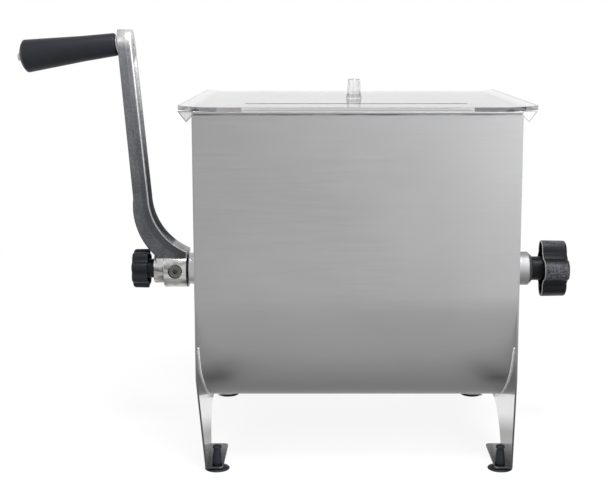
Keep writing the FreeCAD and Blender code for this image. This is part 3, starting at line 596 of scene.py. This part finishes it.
section = outer_line + inner_line[::-1]
size = len(section)
points = ruled(section, COLUMNS)
faces = joined_rings([[column * size + n for n in range(size)] for column in range(COLUMNS + 1)])
for start in (0, COLUMNS * size):
    faces += [(start + n, start + n + 1, start + size - 2 - n, start + size - 1 - n)
              for n in range(len(outer_line) - 1)]
for side in (-1, 1):
    hem = hem_outline(side)
    rings = [[len(points) + column * len(hem) + n for n in range(len(hem))] for column in (0, 1)]
    points += ruled(hem, 1)
    faces += joined_rings(rings) + [tuple(rings[0]), tuple(rings[1])]
satin_steel = steel("satin_steel", (0.29, 0.33), (0.36, 0.46), (0.05, 0.0011, 0.0011), painted_shade=hem_shadow)
hang(made_mesh("trough_sheet", points, faces), satin_steel, "tub", "satin_stainless", "trough_shell")

# %% [markdown]
# The end plates are bright sheet, nearly a mirror. The cut edges along their front and rear are duller, and
# darker down the legs; the tabs at the feet are much darker, and the fold along the top is the brightest.
# Each is picked out by where it lies on the plate.

# %% End plates
FOLD_DROP = 12 * MM
NEAR = 0.1 * MM


def swap(mask, value, other):
    """One number where a mask is 0, another where it is 1."""
    return value + mask * (other - value)


bright_plate, tree = finish("bright_plate")
brush = speckle(tree, 1.0, (0.0016, 0.0016, 0.06), 2.0)
clouds = speckle(tree, 0.09, detail=2.0)
aside = abs(axis_value(tree, "X") - TUB_X)
depth, height = abs(axis_value(tree, "Y")), axis_value(tree, "Z")
cut_edge = depth > HALF_WIDTH - SKIN
tab = 1 - (height > TAB_HEIGHT + END_SHEET + NEAR)
fold = (aside > INNER_HALF + END_SHEET + NEAR) * (height > RIM_Z - FOLD_DROP)
tone = swap(tab, clouds * 0.08 + 0.62, clouds * 0.08 + 0.14)
tone = swap(cut_edge, swap(fold, tone, 0.9), ramp(height, (0.06, 0.08), (0.14, 0.30)))
rough = ramp(brush, (0.3, 0.14), (0.7, 0.22)) + (clouds - 0.5) * 0.04
rough = swap(cut_edge, swap(fold, rough, 0.04), 0.34)
colour = add(tree, "ShaderNodeCombineColor", None, {0: tone, 1: tone, 2: tone * 1.01})
metal(colour, rough, bump(brush, 0.00002, 0.35))
dress(bright_plate, "left_end_plate", "right_end_plate")

# %% [markdown]
# The folds along the top of the end plates are hollow, and a small bright cap closes each of their four
# ends. A cap is the fold's own section, as (out, up) in millimetres from the plate's top corner, drawn out
# a little.

# %% Fold caps
FOLD_SECTION = [(-0.1, -3.0), (4.4, -8.0), (9.8, -0.9), (-0.1, -0.9)]
CAP_INSETS = (1.0, 1.6)
points, faces = [], []
for side in (-1, 1):
    for end in (-1, 1):
        rings = []
        for inset in CAP_INSETS:
            rings.append([len(points) + n for n in range(len(FOLD_SECTION))])
            for out, up in FOLD_SECTION:
                x = TUB_X + side * (INNER_HALF + END_SHEET + out * MM)
                points.append(Vector((x, end * (HALF_WIDTH - inset * MM), RIM_Z + up * MM)))
        faces += joined_rings(rings) + [tuple(rings[0]), tuple(rings[1])]
cap_steel = steel("fold_cap_steel", (0.62, 0.74), (0.20, 0.32), (0.002, 0.002, 0.01))
hang(made_mesh("fold_caps", points, faces), cap_steel, "tub", "satin_stainless")

# %% [markdown]
# What repeats, or follows a path or a rule, is made by Geometry Nodes. A tree is built here with named
# inputs and run as a modifier, and its result is kept as a plain mesh.

# %% Geometry Nodes helpers
def geometry_tree(name, inputs):
    """A tree with a mesh in, named values, and a mesh out."""
    tree = bpy.data.node_groups.new(name, "GeometryNodeTree")
    tree.interface.new_socket("Geometry", in_out="INPUT", socket_type="NodeSocketGeometry")
    for label, kind in inputs.items():
        tree.interface.new_socket(label, in_out="INPUT", socket_type="NodeSocket" + kind)
    tree.interface.new_socket("Geometry", in_out="OUTPUT", socket_type="NodeSocketGeometry")
    entry = tree.nodes.new("NodeGroupInput")
    return tree, {s.name: Wire(tree, s) for s in entry.outputs if s.name}


def ending(shape):
    """Makes instances real and closes the tree."""
    real = add(shape.tree, "GeometryNodeRealizeInstances", None, {0: shape})
    add(shape.tree, "NodeGroupOutput", None, {0: real})


def applied(item):
    """The mesh of an object with its modifiers worked in; the object itself goes."""
    bpy.context.view_layer.update()
    graph = bpy.context.evaluated_depsgraph_get()
    mesh = bpy.data.meshes.new_from_object(item.evaluated_get(graph), depsgraph=graph)
    name, old = item.name, item.data
    bpy.data.objects.remove(item)
    bpy.data.meshes.remove(old)
    mesh.name = name
    return mesh


def run_tree(mesh, tree, values):
    """The plain mesh that comes out of a tree, run on a mesh with these inputs."""
    item = placed(mesh)
    modifier = item.modifiers.new(tree.name, "NODES")
    modifier.node_group = tree
    for socket in tree.interface.items_tree:
        if socket.item_type == "SOCKET" and socket.in_out == "INPUT" and socket.name in values:
            modifier[socket.identifier] = values[socket.name]
    return applied(item)


print("Geometry Nodes helpers are ready")

# %% [markdown]
# Where the trough meets the end plates a thin weld runs round the U. A weld is a row of small overlapping
# beads on a path, so Geometry Nodes set small balls along the seam.

# %% Weld seams
WELD_RADIUS = 0.75 * MM
WELD_SPACING = 0.9 * MM
WELD_TOP = AXIS_Z - 45 * MM
weld_tree, sockets = geometry_tree("weld_beads", {"Spacing": "Float", "Radius": "Float"})
path = add(weld_tree, "GeometryNodeMeshToCurve", None, {"Mesh": sockets["Geometry"]})
path = add(weld_tree, "GeometryNodeResampleCurve", {"mode": "LENGTH"},
           {"Curve": path, "Length": sockets["Spacing"]})
bead = add(weld_tree, "GeometryNodeMeshIcoSphere", None, {"Radius": sockets["Radius"], "Subdivisions": 2})
row = add(weld_tree, "GeometryNodeInstanceOnPoints", None, {"Points": path, "Instance": bead})
ending(row)

seam_points, seam_edges = [], []
for inward, end in ((1, 0), (-1, 1)):
    start = len(seam_points)
    for y, z in outer_line:
        if z < WELD_TOP:
            seam_points.append((trough_ends(y, z)[end] + inward * WELD_RADIUS / 2, y, z))
    seam_edges += [(n, n + 1) for n in range(start, len(seam_points) - 1)]
seam_mesh = bpy.data.meshes.new("weld_seams")
seam_mesh.from_pydata(seam_points, seam_edges, [])
weld_steel = steel("weld_steel", (0.62, 0.72), (0.16, 0.28), (0.002, 0.002, 0.002))
seam_mesh = run_tree(seam_mesh, weld_tree, {"Spacing": WELD_SPACING, "Radius": WELD_RADIUS})
hang(seam_mesh, weld_steel, "tub", "satin_stainless")

# %% [markdown]
# Turned pieces, such as knobs, feet and bosses, are a profile spun about an axis. A profile is a list of
# (along, radius) corners in millimetres, and a third number rounds the corner.

# %% Turned forms
X_AXIS = Matrix(((0, 0, 1), (1, 0, 0), (0, 1, 0)))
Y_AXIS = Matrix(((1, 0, 0), (0, 0, 1), (0, -1, 0)))
Z_AXIS = Matrix.Identity(3)


def rounded(corners, steps=5):
    """A profile with its marked corners rounded off."""
    points = []
    for index, corner in enumerate(corners):
        here = Vector(corner[:2])
        radius = corner[2] if len(corner) > 2 else 0
        if not radius:
            points.append(here)
            continue
        before = (Vector(corners[index - 1][:2]) - here).normalized()
        after = (Vector(corners[index + 1][:2]) - here).normalized()
        half = before.angle(after) / 2
        back = radius / math.tan(half)
        start, end = here + before * back, here + after * back
        centre = here + (before + after).normalized() * (radius / math.sin(half))
        for step in range(steps + 1):
            spoke = (start - centre).slerp(end - centre, step / steps)
            points.append(centre + spoke * radius)
    return points


def turned(name, profile, origin, axes, segments=64, smooth_to=38):
    """A mesh of a profile in millimetres, spun about the third column of axes at an origin in metres."""
    points, rings = [], []
    for along, radius in profile:
        count = 1 if radius < 1e-6 else segments
        rings.append([len(points) + n for n in range(count)])
        for n in range(count):
            turn = math.tau * n / segments
            spot = Vector((radius * math.cos(turn), radius * math.sin(turn), along)) * MM
            points.append(Vector(origin) + axes @ spot)
    return made_mesh(name, points, joined_rings(rings), smooth_to)


print("turned forms are ready")

# %% [markdown]
# A star knob is a hollow moulding: a round neck, and a head whose rim swings in and out in lobes. The plain
# turned form is spun first, with a mark on each point that says how much of the swing it takes. Geometry
# Nodes then draw the marked points towards the axis: each lobe is a circle, and a smooth maximum joins it
# to the waist.

# %% Lobes
SMOOTHING = 0.12
lobe_tree, sockets = geometry_tree("star_lobes", {
    "Lobes": "Float", "Lobe": "Float", "Waist": "Float", "Tilt": "Float", "Axis height": "Float"})
spot = add(lobe_tree, "GeometryNodeInputPosition")
forward, across, upward = [add(lobe_tree, "ShaderNodeSeparateXYZ", None, {0: spot}, axis) for axis in "XYZ"]
upward = upward - sockets["Axis height"]
turn = upward.maths("ARCTAN2", 0.0 - across) + sockets["Tilt"]
part = turn * sockets["Lobes"] / math.tau + 0.5
off_lobe = (part.maths("FRACT") - 0.5) * math.tau / sockets["Lobes"]
lobe, lobe_out = sockets["Lobe"], 1 - sockets["Lobe"]
sideways = off_lobe.maths("SINE") * lobe_out
circle = off_lobe.maths("COSINE") * lobe_out + ((lobe * lobe - sideways * sideways) | 0.0) ** 0.5
swell = add(lobe_tree, "ShaderNodeMath", {"operation": "SMOOTH_MAX"},
            {0: circle, 1: sockets["Waist"], 2: SMOOTHING})
share = add(lobe_tree, "GeometryNodeInputNamedAttribute", {"data_type": "FLOAT"}, {"Name": "swing"})
draw_in = 1 - share * (1 - swell.maths("MINIMUM", 1.0))
moved = add(lobe_tree, "ShaderNodeCombineXYZ", None, {
    "X": forward, "Y": across * draw_in, "Z": upward * draw_in + sockets["Axis height"]})
lobed = add(lobe_tree, "GeometryNodeSetPosition", None, {"Geometry": sockets["Geometry"], "Position": moved})
ending(lobed)
print(lobe_tree.name, "has", len(lobe_tree.nodes), "nodes")

# %% [markdown]
# Both knobs come from one function. Lengths are in millimetres, the lobe and the waist are shares of the
# knob's radius, and the tilt turns the lobes to where they stand in the photograph.

# %% Star knobs
def star_knob(node, side, material, neck_length, neck, bore, dome, wall, lobes, lobe, waist, tilt):
    """A star knob in place of a CAD node; side is the way it points along X."""
    low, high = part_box(node)
    start = low.x if side > 0 else high.x
    length = (high.x - low.x) / MM
    rim = -low.y / MM
    floor_at = neck_length + (length - neck_length) * 0.5
    edge = length - dome
    profile = rounded([
        (floor_at, 0), (floor_at, bore), (0, bore), (0, neck, 0.6),
        (floor_at, neck, 1.5), (floor_at, rim - wall, 1.5), (neck_length, rim - wall, 0.5),
        (neck_length, rim, 0.7), (edge, rim * 0.985, 2.6), (edge + dome * 0.62, rim * 0.62),
        (edge + dome * 0.9, rim * 0.3), (length, 0),
    ])
    axes = X_AXIS if side > 0 else Matrix.Rotation(math.pi, 3, "Z") @ X_AXIS
    mesh = turned(node + "_star", profile, (start, 0, AXIS_Z), axes, 224, 50)
    swing = mesh.attributes.new("swing", "FLOAT", "POINT")
    for vertex in mesh.vertices:
        radius = math.hypot(vertex.co.y, vertex.co.z - AXIS_Z) / MM
        depth = abs(vertex.co.x - start) / MM
        on_head = depth > neck_length - 0.01 and radius > neck + 0.2 or depth > floor_at + 0.1
        swing.data[vertex.index].value = 1.0 if on_head else 0.0
    mesh = run_tree(mesh, lobe_tree, {
        "Lobes": lobes, "Lobe": lobe, "Waist": waist, "Tilt": math.radians(tilt), "Axis height": AXIS_Z})
    mesh.attributes.remove(mesh.attributes["swing"])
    mesh.set_sharp_from_angle(angle=math.radians(45))
    hang(mesh, material, node, "black_plastic", node)


star_knob("lock_knob", 1, knob_plastic, neck_length=LOCK_NECK, neck=10.9, bore=6.05, dome=0.9, wall=1.5,
          lobes=4.0, lobe=0.37, waist=0.68, tilt=-5.0)
star_knob("crank_knob", -1, grip_plastic, neck_length=4.7, neck=8.7, bore=4.05, dome=0.7, wall=1.6,
          lobes=8.0, lobe=0.26, waist=0.84, tilt=-15.0)

# %% [markdown]
# The knobs' studs show when the knobs are backed off, so they get a real thread. A thread is a ridge on a
# helix: Geometry Nodes draw a spiral and sweep a small four-sided section along it.

# %% Screw thread
thread_tree, sockets = geometry_tree("screw_thread", {
    "Turns": "Float", "Radius": "Float", "Height": "Float", "Ridge": "Float", "Place": "Vector"})
helix = add(thread_tree, "GeometryNodeCurveSpiral", None, {
    "Resolution": 24, "Rotations": sockets["Turns"], "Start Radius": sockets["Radius"],
    "End Radius": sockets["Radius"], "Height": sockets["Height"]})
ridge = add(thread_tree, "GeometryNodeCurvePrimitiveCircle", None,
            {"Resolution": 4, "Radius": sockets["Ridge"]})
thread = add(thread_tree, "GeometryNodeCurveToMesh", None,
             {"Curve": helix, "Profile Curve": ridge, "Fill Caps": True})
thread = add(thread_tree, "GeometryNodeTransform", None, {
    "Geometry": thread, "Translation": sockets["Place"], "Rotation": (0, math.pi / 2, 0)})
stud = add(thread_tree, "GeometryNodeJoinGeometry", None, {0: thread})
thread_tree.links.new(sockets["Geometry"].socket, stud.socket.node.inputs[0])
ending(stud)
print(thread_tree.name, "has", len(thread_tree.nodes), "nodes")

# %% [markdown]
# The locking stud ends in a thinner tip, which goes into the paddle's shaft.

# %% Threaded studs
def threaded_stud(node, body, pitch, bare, tip=None):
    """A stud in place of a CAD node. Bare is how much of its two ends has no thread, and tip the length and
    radius of a thinner end, in millimetres."""
    low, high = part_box(node)
    radius = (high.z - AXIS_Z) / MM
    ridge = pitch * 0.42
    core = radius - ridge * 0.75
    first, last = low.x / MM, high.x / MM
    nose = [(first, core, 0.6)]
    if tip:
        shoulder = first + tip[0]
        nose = [(first, tip[1], 0.8), (shoulder, tip[1]), (shoulder, core, 0.4)]
    profile = rounded([(first, 0), *nose, (last, core), (last, 0)])
    mesh = turned(node + "_threaded", profile, (0, 0, AXIS_Z), X_AXIS, 40)
    start, end = low.x + bare[0] * MM, high.x - bare[1] * MM
    values = {"Turns": (end - start) / (pitch * MM), "Radius": (radius - ridge) * MM, "Height": end - start,
              "Ridge": ridge * MM, "Place": (start, 0, AXIS_Z)}
    hang(run_tree(mesh, thread_tree, values), turned_steel, body, "turned_steel", node)


threaded_stud("crank_knob_stud", "crank_stud", 1.25, (6, 1))
threaded_stud("lock_knob_stud", "lock_stud", 1.75, (12, 6), tip=(10, 5))

# %% [markdown]
# The right boss is a turned ring with a wide bevel at its outer end, seated through the end plate. Its
# steel is duller than the other turned steel.

# %% Right boss
BOSS_BORE, BOSS_BEVEL = 6.05, 3.4
low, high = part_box("right_bearing_boss")
outer, length, sheet = (high.z - AXIS_Z) / MM, (high.x - low.x) / MM, END_SHEET / MM
seat = outer - BOSS_BEVEL
profile = rounded([
    (0, BOSS_BORE), (0, seat), (sheet, seat), (sheet, outer, 0.3), (length - BOSS_BEVEL, outer, 1.0),
    (length, seat, 0.4), (length, BOSS_BORE),
])
boss = turned("lock_boss", profile + profile[:1], (low.x, 0, AXIS_Z), X_AXIS, 96)
boss_steel = steel("boss_steel", (0.25, 0.30), (0.46, 0.56), (0.0007, 0.03, 0.03), 0.00003)
hang(boss, boss_steel, "tub", "turned_steel", "right_bearing_boss")

# %% [markdown]
# A foot is a rubber suction cup. Its stem is pulled up through a hole in the tab, which sits in a groove
# between the cup and the stem, and the stem ends in a small bead to pull by.

# %% Rubber feet
def foot(node):
    low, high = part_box(node)
    place = (*middle(node).xy, 0)
    cup = (high.x - low.x) / 2 / MM
    top = high.z / MM
    tab, deck = TAB_HEIGHT / MM, (TAB_HEIGHT + END_SHEET) / MM
    profile = rounded([
        (0, 0), (0, cup - 0.9), (0.25, cup, 0.1), (0.7, cup - 0.15), (1.5, cup - 2.8), (2.2, 6.2),
        (tab, 4.5, 0.3), (tab, 3), (deck, 3), (deck, 4.4, 0.4), (deck + 4, 4.05), (top - 4, 3.15),
        (top - 2.8, 3.1, 0.4), (top - 2.0, 3.8, 0.4), (top - 0.4, 3.75, 0.7), (top, 2.2), (top, 0),
    ], 3)
    cup_mesh = turned(node + "_rubber", profile, place, Z_AXIS, 48, 60)
    hang(cup_mesh, foot_rubber, "tub", "black_rubber", node)


for node in ("front_left_foot", "front_right_foot", "rear_left_foot", "rear_right_foot"):
    foot(node)

# %% [markdown]
# The grip is a long taper that ends in a shallow dome, with a hole through it for the axle. It leans with
# the arm, so its axis is read from the joint that it spins on.

# %% Grip
GRIP_START, GRIP_LENGTH, AXLE_HOLE = 2.0, 82.0, 3.05
GRIP_END = GRIP_START + GRIP_LENGTH
grip_joint = next(joint for joint in frame["joints"] if joint["name"] == "grip_spin")
grip_axis = Vector(grip_joint["axis"]).normalized()
grip_side = Vector((0, 1, 0))
grip_axes = Matrix((grip_side, grip_axis.cross(grip_side), grip_axis)).transposed()
profile = rounded([
    (GRIP_START + 1.5, AXLE_HOLE), (GRIP_START, 5.5), (GRIP_START, 10.2, 1.6), (GRIP_START + 30, 11.4),
    (GRIP_END, 14.8, 2.2), (GRIP_END + 2.4, 11.6), (GRIP_END + 3.9, 8.0), (GRIP_END + 4.5, 4.8),
    (GRIP_END + 4.4, AXLE_HOLE),
], 6)
grip = turned("tapered_grip", profile + profile[:1], grip_joint["pos_m"], grip_axes, 96, 50)
hang(grip, grip_plastic, "grip", "black_plastic", "grip")

# %% [markdown]
# Clear solids that only touch show a black film between them, so the lid's bars and its knob are sunk a
# little into its plate and joined with it.

# %% Joining helpers
def boxed(name, low, high):
    """A plain box between two corners."""
    ring = [(low.x, low.y), (high.x, low.y), (high.x, high.y), (low.x, high.y)]
    points = [(x, y, z) for z in (low.z, high.z) for x, y in ring]
    faces = joined_rings([[0, 1, 2, 3], [4, 5, 6, 7]]) + [(0, 1, 2, 3), (4, 5, 6, 7)]
    return made_mesh(name, points, faces)


def worked(mesh, operation, *tools):
    """A mesh joined with, or cut by, other meshes."""
    item = placed(mesh)
    helpers = [placed(tool) for tool in tools]
    for helper in helpers:
        modifier = item.modifiers.new(helper.name, "BOOLEAN")
        modifier.operation = operation
        modifier.object = helper
    mesh = applied(item)
    for helper in helpers:
        bpy.data.objects.remove(helper)
    return mesh


print("joining helpers are ready")

# %% [markdown]
# The plate's ends are bent up a little, each by an arc, so its points have small steps only there.

# %% Clear lid
LID_FLAT, LID_SPAN, LID_RISE, LID_STEPS = 117.6, 26.0, 1.7, 10
SUNK = 1.2
bend_radius = (LID_SPAN ** 2 + LID_RISE ** 2) / (2 * LID_RISE)
end_steps = [LID_FLAT + LID_SPAN * n / LID_STEPS for n in range(LID_STEPS + 1)]
across_lid = [-x for x in reversed(end_steps)] + end_steps


def lid_lift(x):
    """How far the bent ends of the lid stand up at x."""
    past = max(abs(x) - LID_FLAT, 0.0)
    return bend_radius - math.sqrt(bend_radius ** 2 - past ** 2)


columns = len(across_lid)
points = []
for y in (LID_LOW.y, LID_HIGH.y):
    for up in (0.0, LID_THICK):
        points += [Vector((TUB_X + x * MM, y, LID_LOW.z + up + lid_lift(x) * MM)) for x in across_lid]
rings = [[row * columns + n for n in range(columns)] for row in (0, 1, 3, 2, 0)]
ends = [tuple(ring[n] for ring in rings[:4]) for n in (0, columns - 1)]
plate = made_mesh("clear_lid", points, joined_rings(rings, False) + ends, 20)

lid_tools = []
for node in ("lid_front_bar", "lid_rear_bar"):
    low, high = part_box(node)
    lid_tools.append(boxed(node + "_acrylic", low, high + Vector((0, 0, SUNK * MM))))
low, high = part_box("lid_knob")
base, tall = (high.x - low.x) / 2 / MM, (high.z - low.z) / MM
profile = rounded([
    (-SUNK, 0), (-SUNK, base), (0.8, base - 0.2, 0.4), (tall * 0.5, base * 0.86), (tall, base * 0.8, 1.0),
    (tall, 0)])
lid_tools.append(turned("lid_pull", profile, (TUB_X, 0, low.z), Z_AXIS, smooth_to=60))
lid_mesh = worked(plate, "UNION", *lid_tools)
lid_mesh.set_sharp_from_angle(angle=math.radians(25))
hang(lid_mesh, clear_acrylic, "lid", "clear_acrylic",
     "lid_plate", "lid_front_bar", "lid_rear_bar", "lid_knob")

# %% [markdown]
# The crank is an aluminium casting, ground and polished only at its hub. The arm's finish reads a number on
# each point that says how light its band of the casting is, painted shade and painted highlight among them;
# it grows lighter higher up, and sand grain and flow marks break it up. The hub's polish is smeared, and its
# inner rim is painted dark, a painted shadow of the gap beside it.

# %% Aluminium finishes
GAP_SHADOW_WIDTH = 1.3 * MM
cast_aluminium, tree = finish("cast_aluminium")
lightness = add(tree, "ShaderNodeAttribute", {"attribute_name": "band"}, None, "Fac")
sand = speckle(tree, 0.0016, detail=5.0, roughness=0.65)
flow = speckle(tree, 0.012, (1, 1, 2.2))
# the arm's tone grows lighter higher up
paler_higher_up = ramp(axis_value(tree, "Z"), (0.20, 0.0), (0.34, 0.14), (0.352, 0.16), (0.36, 0.5))
tone = lightness + paler_higher_up + (sand - 0.5) * 0.50 + (flow - 0.5) * 0.36
colour = ramp(tone, (0.0, (0.045, 0.046, 0.049)), (0.3, (0.085, 0.087, 0.093)),
              (0.6, (0.19, 0.193, 0.203)), (1.0, (0.60, 0.595, 0.59)))
metal(colour, ramp(tone, (0.2, 0.50), (0.95, 0.40)), bump(sand, 0.00016, 0.6))

polished_aluminium, tree = finish("polished_aluminium")
smear = speckle(tree, 0.0075, (2.6, 1, 1), 4.0, 0.6)
fine = speckle(tree, 0.0012, (6, 1, 1))
colour = ramp(smear + (fine - 0.5) * 0.10, (0.34, (0.10, 0.10, 0.10)), (0.46, (0.34, 0.34, 0.33)),
              (0.58, (0.56, 0.55, 0.53)), (0.75, (0.40, 0.40, 0.40)))
# painted shadow: a dark band on the hub's inner rim, where the gap beside it lies in shade
gap_shadow = axis_value(tree, "X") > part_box("crank_arm")[1].x - GAP_SHADOW_WIDTH
colour = mix_colour(gap_shadow, colour, (0.03, 0.03, 0.03))
metal(colour, ramp(smear, (0.35, 0.30), (0.65, 0.16)), bump(smear, 0.0006, 0.25))
print(cast_aluminium.name, "and", polished_aluminium.name)

# %% [markdown]
# Seen from the front, the arm sweeps out of the hub in an arc, leans outwards and ends round. Its outer and
# its inner edge are drawn as two rows of (x, z) points in millimetres, x counted from the tub's middle.

# %% Crank arm edges
AXIS = AXIS_Z / MM
arm_low, arm_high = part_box("crank_arm")
ARM_RIGHT, ARM_LEFT = (arm_high.x - TUB_X) / MM, (arm_low.x - TUB_X) / MM
ARM_HALF, ARM_TOP, KNEE = 13.0, arm_high.z / MM, AXIS + 66.4
AXLE = ARM_TOP - ARM_HALF
KNEE_OUT, KNEE_IN, TOP_IN = ARM_LEFT + 12.0, ARM_LEFT + 26.4, ARM_LEFT + 13.0
HUB_SMALL, HUB_LARGE, HUB_BORE = 13.35, 17.1, 8.0
HUB_STEP, HUB_END = ARM_RIGHT - 22.2, ARM_RIGHT - 31.5
FOOT_OUT, FOOT_IN = HUB_END + 2, ARM_RIGHT - 0.6
OUTER_BEND, INNER_BEND = 62.0, 56.0
BEND_STEPS, RISE_STEPS, TIP_STEPS = 22, 16, 12
POLISH_LINE = AXIS + 11.2
FOOT_HEIGHTS = [AXIS + 4, POLISH_LINE, POLISH_LINE + 0.4]


def arc_points(start, end, radius):
    """Points of a round edge from start to end, which turns to the right."""
    chord = end - start
    reach = math.sqrt(radius * radius - chord.length_squared / 4)
    centre = (start + end) / 2 - Vector((-chord.y, chord.x)).normalized() * reach
    spokes = [(start - centre).slerp(end - centre, n / BEND_STEPS) for n in range(BEND_STEPS + 1)]
    return [centre + spoke * radius for spoke in spokes]


outer_edge = [Vector((FOOT_OUT, z)) for z in FOOT_HEIGHTS]
outer_edge += arc_points(Vector((FOOT_OUT, AXIS + HUB_SMALL)), Vector((KNEE_OUT, KNEE)), OUTER_BEND)
inner_edge = [Vector((FOOT_IN, z)) for z in FOOT_HEIGHTS]
inner_edge += arc_points(Vector((ARM_RIGHT, AXIS + HUB_LARGE)), Vector((KNEE_IN, KNEE)), INNER_BEND)
rises = [KNEE + (AXLE - KNEE) * n / RISE_STEPS for n in range(1, RISE_STEPS + 1)]
rises += [AXLE + ARM_HALF * math.sin(math.pi / 2 * n / TIP_STEPS) for n in range(1, TIP_STEPS + 1)]
for z in rises:
    share = (z - KNEE) / (ARM_TOP - KNEE)
    outer_edge.append(Vector((KNEE_OUT + (ARM_LEFT - KNEE_OUT) * share, z)))
    inner_edge.append(Vector((KNEE_IN + (TOP_IN - KNEE_IN) * share, z)))
print("crank arm of %d sections" % len(outer_edge))

# %% [markdown]
# The arm is a row of sections from the hub to the tip. Each has a flat outer side, a front that is creased
# into a lighter outer band and an inner band painted darker as shade, with a painted highlight along its
# inner edge, and an inner side with a channel between two ribs. The channel begins above the hub and ends
# below the axle, and the lowest sections are ground bright.

# %% Crank arm
POLISHED = range(0, 2)
# these sections are lighter on their inner side
LIFTED_SECTIONS = range(3, 9)
CHANNEL, CHANNEL_START, CHANNEL_STOP = 3.0, (7, 13), (0, 4)
PALER = (AXIS + 80, AXIS + 170)


def eased(value, low, high):
    """0 up to low, 1 from high on, and a straight line between."""
    return min(max((value - low) / (high - low), 0.0), 1.0)


def arm_section(thick, half, groove, back_lift, high):
    """Half of the arm's section, outer to inner middle, as (depth, y, band); high is 1 near the tip."""
    # painted shade: the inner band of the front is darker
    inner = 0.16 + 0.24 * high
    back = back_lift + 0.45 * high
    crease = thick * 0.6
    lip = min(half, 1.3)
    rib = max(half - 4.0, half * 0.6)
    return [
        (0, 0, 0.28), (0, -(half - lip) * 0.7, 0.28), (0.4, -(half - lip * 1.4), 0.30),
        (1.3, -(half - lip * 0.9), 0.32), (crease - 0.5, -(half - lip * 0.12), 0.30),
        (crease + 0.3, -half, inner + 0.06), (crease + 1.2, -half, inner),
        # painted highlight: the 0.8 and 0.85 bands along the front's inner edge
        (thick - 1.5, -half * 0.998, inner + 0.02), (thick - 0.9, -(half - lip * 0.15), 0.8),
        (thick - 0.2, -(half - lip * 0.4), 0.85), (thick, -(half - lip), 0.35 + back),
        (thick, -rib - 0.6 * lip, 0.3 + back), (thick - 0.4, -rib, 0.25 + back),
        (thick - groove, -rib + 0.6, 0.12 + back), (thick - groove, 0, 0.16 + back),
    ]


points, bands, rings = [], [], []
for station, (out, inn) in enumerate(zip(outer_edge, inner_edge)):
    past_axle = max(0.0, out.y - AXLE)
    half = math.sqrt(max(ARM_HALF ** 2 - past_axle ** 2, 0.04))
    groove = CHANNEL * eased(station, *CHANNEL_START) * eased(AXLE - ARM_HALF - out.y, *CHANNEL_STOP)
    back_lift = 0.6 if station in LIFTED_SECTIONS else 0.0
    front = arm_section((inn - out).length, half, groove, back_lift, eased(out.y, *PALER))
    if station in POLISHED:
        front = [(depth, y, 0.95) for depth, y, band in front]
    loop = front + [(depth, -y, band) for depth, y, band in front[-2:0:-1]]
    rings.append([len(points) + n for n in range(len(loop))])
    inward = (inn - out).normalized()
    for depth, y, band in loop:
        flat = out + inward * depth
        points.append(Vector((TUB_X + flat.x * MM, y * MM, flat.y * MM)))
        bands.append(band)
faces = joined_rings(rings) + [tuple(rings[0]), tuple(rings[-1])]
arm_mesh = made_mesh("cast_arm", points, faces, 28, bands)
hang(arm_mesh, cast_aluminium, "crank", "cast_aluminium", "crank_arm")

# %% [markdown]
# The hub is turned and polished in two steps, with a small groove between them. The set screw sits in a
# hole from the front, a little wider than the screw, which is cut with a plain round drill.

# %% Crank hub
DRILL_DEPTH, DRILL_START, SCREW_GAP = 12, -20 * MM, 0.8
profile = rounded([
    (HUB_END, HUB_BORE), (HUB_END, HUB_SMALL, 1.2), (HUB_STEP - 0.7, HUB_SMALL, 0.3),
    (HUB_STEP - 0.3, HUB_SMALL - 0.45), (HUB_STEP, HUB_SMALL), (HUB_STEP, HUB_LARGE, 1.3),
    (ARM_RIGHT, HUB_LARGE, 1.0), (ARM_RIGHT, HUB_BORE)])
hub = turned("crank_hub", profile + profile[:1], (TUB_X, 0, AXIS_Z), X_AXIS, 128)
low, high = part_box("hub_set_screw")
hole = (high.x - low.x) / 2 / MM + SCREW_GAP
drill_profile = [(0, 0), (0, hole), (DRILL_DEPTH, hole), (DRILL_DEPTH, 0)]
drill = turned("screw_drill", drill_profile, ((low.x + high.x) / 2, DRILL_START, AXIS_Z), Y_AXIS)
hub_mesh = worked(hub, "DIFFERENCE", drill)
hub_mesh.set_sharp_from_angle(angle=math.radians(35))
hang(hub_mesh, polished_aluminium, "crank", "cast_aluminium")

# %% [markdown]
# Last, the box of the dressed model is printed, in millimetres.

# %% Sizes and finish
low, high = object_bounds()
print("visual box in mm:", [round(v / MM, 1) for v in (*low, *high)])
